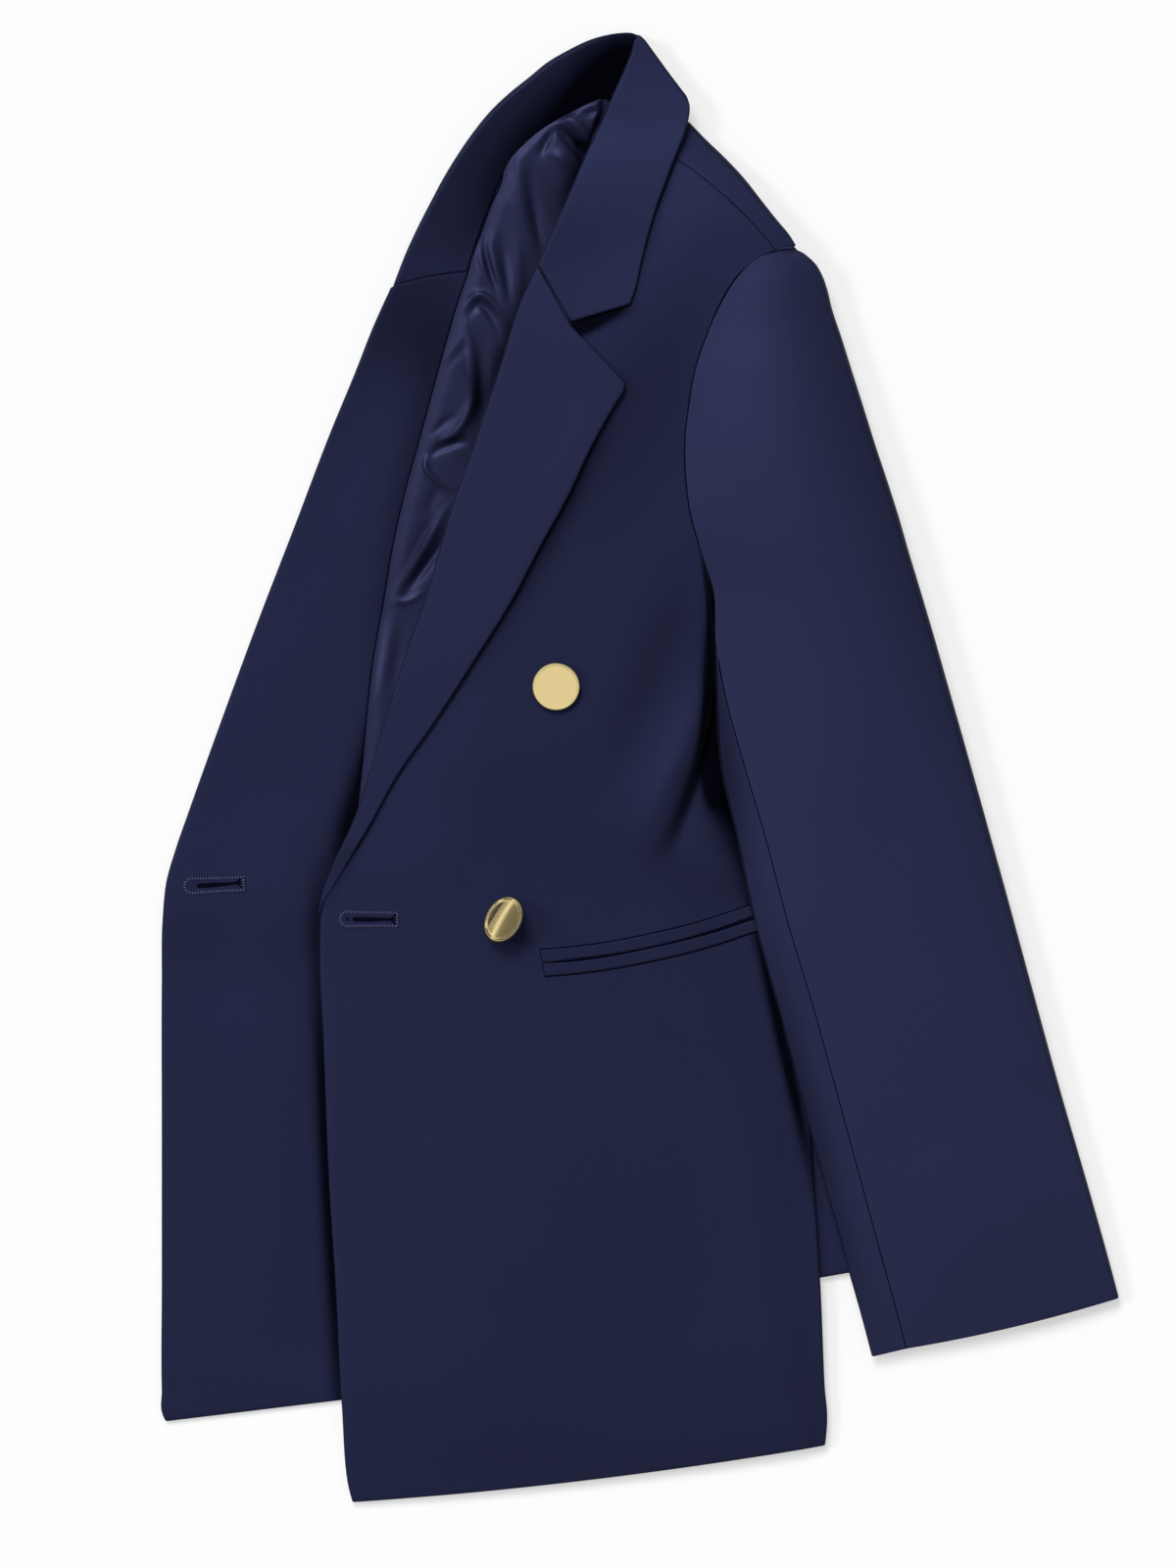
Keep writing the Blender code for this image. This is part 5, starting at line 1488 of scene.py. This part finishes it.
WELT_WIDTH = 7.3
WELT_WALL = 0.55
WELT_STANDS = 0.85
WELT_FOLD = (0.7, 30, 0.3, 1, 5)
WELT_SEWN = (0.45, 10, 0.2, 1, 4)
SLASH_HALF = 1.3
SLASH_RISE = 0.22
POCKET_END_LEANS = -0.12
POCKET = columns(
    "x slit_y slit_half",
    (-54.6, -108.6, 0.15),
    (-46, -108, 0.5),
    (-33.6, -106.7, 0.85),
    (-14.3, -104, 0.65),
    (5, -100.2, 0.5),
    (24.8, -95.6, 0.6),
    (44, -90.2, 0.85),
    (61, -84.4, 0.95),
    (64, -83.4, 0.95),
)


def front_near(x, y):
    """The front's highest point close to a place."""
    return spread_of(front_draped, x, y, np.max, 1.0)


def welt_face(x, y):
    """The welt's face, a little above the front."""
    return front_near(x, y) + WELT_STANDS


def beside_slit(away, x=None):
    """The line along the pocket at a distance from its slit; the left end leans a little."""
    x = POCKET["x"] if x is None else x
    y = through(POCKET["x"], POCKET["slit_y"], x)
    slope = np.gradient(y, x)
    length = np.sqrt(1 + slope**2)
    lean = np.where(np.arange(len(x)) == 0, POCKET_END_LEANS, 0.0)
    return np.stack([x + (lean - slope / length) * away, y + away / length], axis=1)


for name, sign in (("pocket_welt_upper", 1), ("pocket_welt_lower", -1)):
    inner, outer = beside_slit(sign * POCKET["slit_half"]), beside_slit(sign * WELT_WIDTH)
    (low, low_turn), (high, high_turn) = ((inner, WELT_FOLD), (outer, WELT_SEWN))[::sign]
    welt_side = Pattern(between(low, high), 110).face(welt_face, 8, left=low_turn, right=high_turn)
    welt = cloth(name, welt_side, SUITING, WELT_WALL)

# A strip of painted shade lies in the slash, between the welts
pocket_x = np.linspace(POCKET["x"][0], POCKET["x"][-1], 120)
bed = np.stack([beside_slit(away, pocket_x) for away in (-SLASH_HALF, 0.0, SLASH_HALF)], axis=1)
slash = raised(bed, front_near(bed[..., 0], bed[..., 1]) + SLASH_RISE)
cloth("pocket_slash_shadow", slash, SEAM_SHADE, 0.12, stands_for="")

# Cords of painted shadow round the welts
reach = WELT_WIDTH + 0.35
upper, lower = beside_slit(reach, pocket_x), beside_slit(-reach, pocket_x)
ends = np.linspace(0, 1, 20)[1:-1, None]
outline = np.concatenate([upper[::-1], upper[:1] * (1 - ends) + lower[:1] * ends, lower])
seam_shadow("pocket_seam_shadow", outline, front_near, -0.25)

# The sleeve's seams: fine dark cords of painted shadow where its two pieces meet on top, and where
# its head is sewn into the armhole.

seam_line = top_sleeve.left[top_sleeve.left[:, 1] < 62.0] - [SEAM_GAP, 0.0]
seam_shadow("sleeve_seam_shadow", seam_line, sleeve_draped, 0.28)
seam_shadow("armhole_seam_shadow", armhole[armhole[:, 1] > 126] - [0.15, 0.0], lower_side, 0.3)

# The buttonholes: keyholes cut through the cloth and worked round with overcast thread, which
# stands up as a purl with a small bump at each stitch, painted darker between the stitches. The
# cut shows as a slit of painted shade.
# Widths are halves, and a rise is a height above the cloth.

PURL = 0.66
PURL_RISE = 0.42
STITCH = 1.5
HOLE_HALF = 3.7
EYE_HALF = 4.6
BAND_HALF = 0.9
SLIT_RISE = 0.62
FORK_RISE = 0.6


def thread_finish(name, colour):
    """Silky sewing thread: fine twisted strands, a little lighter than the cloth."""
    gloss = {"Roughness": 0.5, "Specular IOR Level": 0.3, "Specular Tint": (0.6, 0.65, 1.0, 1.0)}
    made, tree, shader = principled(name, gloss)
    strands = noise(tree, node(tree, "ShaderNodeTexCoord").outputs["Object"], 2600.0)
    with_painted_shade(tree, shader, scaled(tree, colour, sloped(tree, strands, 0.5, 0.75)))
    bumped(tree, shader, strands, 0.00008)
    return made


THREAD = (thread_finish("thread", (0.0600, 0.0650, 0.1400)), "thread")


def keyhole(share, length, half, eye):
    """Points round a keyhole: half an ellipse round the eye, two long sides, and a square bar."""
    turn = np.linspace(0.5, 1.5, 60) * math.pi
    bulb = np.stack([eye * np.cos(turn), eye * np.sin(turn) * (half / eye) * 1.12], axis=1)
    side = np.linspace(0, 1, 90)[1:]
    low = np.stack([side * length, np.full(89, -half) - 0.12 * half * (1 - side) ** 4], axis=1)
    bar = np.stack([np.full(20, length), np.linspace(-half, half, 22)[1:-1]], axis=1)
    high = low[::-1] * np.array([1.0, -1.0])
    loop = np.concatenate([bulb, low, bar, high])
    steps = np.linalg.norm(np.diff(loop, axis=0, append=loop[:1]), axis=1)
    run = np.concatenate([[0.0], np.cumsum(steps)])
    loop = looped(loop, 0)
    at = share * run[-1]
    return np.stack([np.interp(at, run, loop[:, 0]), np.interp(at, run, loop[:, 1])], axis=1), run[-1]


def buttonhole(name, eye_at, bar_at, face, eye_hole, tilt):
    """A purl round a keyhole, the flat overcast band inside it, its bar, and the slit in painted shade."""
    along = np.array(bar_at) - np.array(eye_at)
    length = float(np.linalg.norm(along))
    way = along / length

    def placed(plan, rise):
        """Points of the buttonhole's own plan laid on the cloth, at a rise above it."""
        spot = np.array(eye_at) + plan[..., :1] * way + plan[..., 1:] * square_to(way)
        return raised(spot, spread_of(face, spot[..., 0], spot[..., 1], np.max, 0.8) + rise)

    share = np.linspace(0, 1, 520, endpoint=False)
    ring, run = keyhole(share, length, HOLE_HALF, EYE_HALF)
    stitches = round(run / STITCH)
    bumps = 1 + 0.5 * np.cos(2 * math.pi * stitches * share)
    purl = strand(name, placed(ring, PURL_RISE), PURL, THREAD, closed=True, bumps=bumps)
    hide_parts(name)
    # the band between the purl and the slit, ribbed by the stitches that cross it
    slit, _ = keyhole(share, length - 1.5, BAND_HALF, 1.0)
    slit[:, 0] += BAND_HALF
    across = np.linspace(0, 1, 7)
    band = ring[:, None] * (1 - across[:, None]) + slit[:, None] * across[:, None]
    ribs = 0.05 * np.cos(2 * math.pi * stitches * share)[:, None] * np.sin(math.pi * across)
    grid = placed(band, PURL_RISE - 0.12 * across + ribs)
    index = looped(np.arange(grid[..., 0].size).reshape(grid.shape[:2]), 0)
    make_mesh(f"{name}_band", grid.reshape(-1, 3), cells(index), BAND)
    # the slit: a dark lens of painted shade, thin at its right end, where it forks at the bar
    t = np.linspace(0, 1, 60)
    thick = np.interp(t, (0.0, 0.04, 0.35, 0.6, 1.0), (0.3, 1.2, 1.35, 1.0, 0.5))
    middle = np.stack([2.2 + t * (length - 3.4), tilt * t**2], axis=1)
    lens = [middle + np.array([0.0, 1.0]) * (thick * k)[:, None] for k in (-1.0, 0.0, 1.0)]
    cloth(f"{name}_slit", placed(np.stack(lens, axis=1), SLIT_RISE), SEAM_SHADE, 0.1, stands_for="")
    # the fork: two short cords of painted shadow
    for tine, tip in (("a", -1.0), ("b", 1.0)):
        fork = np.linspace(0, 1, 10)[:, None] * np.array([[3.4, 3.0 * tip]]) + [length - 4.2, tilt * 0.8]
        strand(f"{name}_fork_{tine}", placed(fork, FORK_RISE), SEAM_CORD, SEAM_SHADE)
    # the eye: a dark dot of painted shade
    if eye_hole:
        turn = np.linspace(0, 2 * math.pi, 20, endpoint=False)
        rim = np.stack([0.7 + 0.75 * np.cos(turn), 0.1 + 0.75 * np.sin(turn)], axis=1) - [1.6, 0]
        dot = placed(np.concatenate([rim, rim.mean(axis=0)[None]]), FORK_RISE)
        make_mesh(f"{name}_eye", dot, fan(looped(np.arange(20), 0), 20), SEAM_SHADE)


band_cloth = woven("overcast_band", (0.0080, 0.0090, 0.0260), 0.20, 0.0009, 0.00003, roughness=0.55)
BAND = (band_cloth, "thread")
buttonhole("buttonhole_left", (-163.6, -84.2), (-136.0, -84.4), front_draped, True, 0.3)
buttonhole("buttonhole_right", (-251.2, -65.6), (-222.6, -64.4), under_face, False, 1.0)

# The buttons: plain turned discs of polished, pale gold plated metal with a fine rim. Each is
# sewn on by its shank; the lower one leans over on its thread.

BUTTON_HALF = 1.2
CROWN = 0.45
CROWN_RADIUS = 11.3
SHANK_RADIUS = 2.0
BUTTON_STEPS = 96
BUTTON_FACE = 0.42
SHADED_RIM_FROM = 12.65
SHADED_RIM_BLENDS = 0.2


def plated(name, colour, roughness):
    """Polished gold plate: fine turning marks, slow changes of gloss, and a rim painted dark as shade."""
    made, tree, shader = principled(name, {})
    place = node(tree, "ShaderNodeTexCoord").outputs["Object"]
    worn = noise(tree, place, 160.0, 3.0)
    # painted shade at the rim, from a point attribute: darker colour and metal there, and rougher
    rim = node(tree, "ShaderNodeAttribute", {"attribute_name": "rim"}).outputs["Fac"]
    bright = sums(tree, "SUBTRACT", 1.0, sums(tree, "MULTIPLY", rim, 0.93))
    shown = scaled(tree, scaled(tree, colour, sloped(tree, worn, 0.06, 0.97)), bright)
    tree.links.new(shown, shader.inputs["Base Color"])
    tree.links.new(bright, shader.inputs["Metallic"])
    rough = sums(tree, "ADD", sloped(tree, worn, 0.06, roughness), sums(tree, "MULTIPLY", rim, 0.4))
    tree.links.new(rough, shader.inputs["Roughness"])
    bumped(tree, shader, noise(tree, place, 1500.0), 0.00001, 0.25)
    return made


GOLD = (plated("pale_gold", (0.86, 0.695, 0.325), 0.05), "button_metal")
crown_r = np.linspace(0.0, CROWN_RADIUS, 14)
crown_z = BUTTON_HALF - BUTTON_FACE + CROWN * (1 - (crown_r / CROWN_RADIUS) ** 2)
BUTTON_PROFILE = columns(
    "r z",
    *zip(crown_r, crown_z, strict=True),
    (11.6, 0.80),
    (11.9, 0.86),
    (12.3, 0.94),
    (12.6, 0.98),
    (12.8, 0.96),
    (13.05, 0.88),
    (13.25, 0.72),
    (13.35, 0.5),
    (13.35, 0),
    (13.3, -0.4),
    (13, -0.75),
    (12.4, -1),
    (11.5, -1.16),
    (8, -1.3),
    (3.2, -1.5),
    (2.4, -1.7),
    (2, -2.1),
)


def button(name, x, y, rise, lean_deg, lean_towards_deg, shank):
    """A profile turned about its axis in even steps, then leaned over and placed."""
    r = np.append(BUTTON_PROFILE["r"][1:], SHANK_RADIUS)
    z = np.append(BUTTON_PROFILE["z"][1:], -BUTTON_HALF - shank)
    turn = np.linspace(0, 2 * math.pi, BUTTON_STEPS, endpoint=False)
    rings = [r[:, None] * np.cos(turn), r[:, None] * np.sin(turn), z[:, None] + 0 * turn]
    points = np.stack(rings, axis=-1).reshape(-1, 3)
    index = looped(np.arange(len(points)).reshape(len(r), BUTTON_STEPS))
    ends = (fan(index[0], len(points)), fan(index[-1, ::-1], len(points) + 1))
    points = np.concatenate([points, [[0, 0, BUTTON_PROFILE["z"][0]], [0, 0, z[-1]]]])
    towards = math.radians(lean_towards_deg)
    axis = Vector((-math.sin(towards), math.cos(towards), 0.0))
    lean = np.array(Quaternion(axis, math.radians(lean_deg)).to_matrix())
    height = float(front_face(np.array(x), np.array(y))) + rise
    points = points @ lean.T + np.array([x, y, height])
    piece = make_mesh(name, points, (cells(index), *ends), GOLD)
    # Its outermost edge is painted dark, as the shade round the button
    rim_shade = np.clip((r - SHADED_RIM_FROM) / SHADED_RIM_BLENDS, 0.0, 1.0).repeat(BUTTON_STEPS)
    mark(piece, "rim", np.append(rim_shade, [0.0, 0.0]))
    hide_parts(name)


button("button_upper", -47.0, 46.2, 3.4, 3.0, 250.0, 1.8)
button("button_lower", -76.2, -84.2, 9.6, 44.0, 150.0, 7.4)
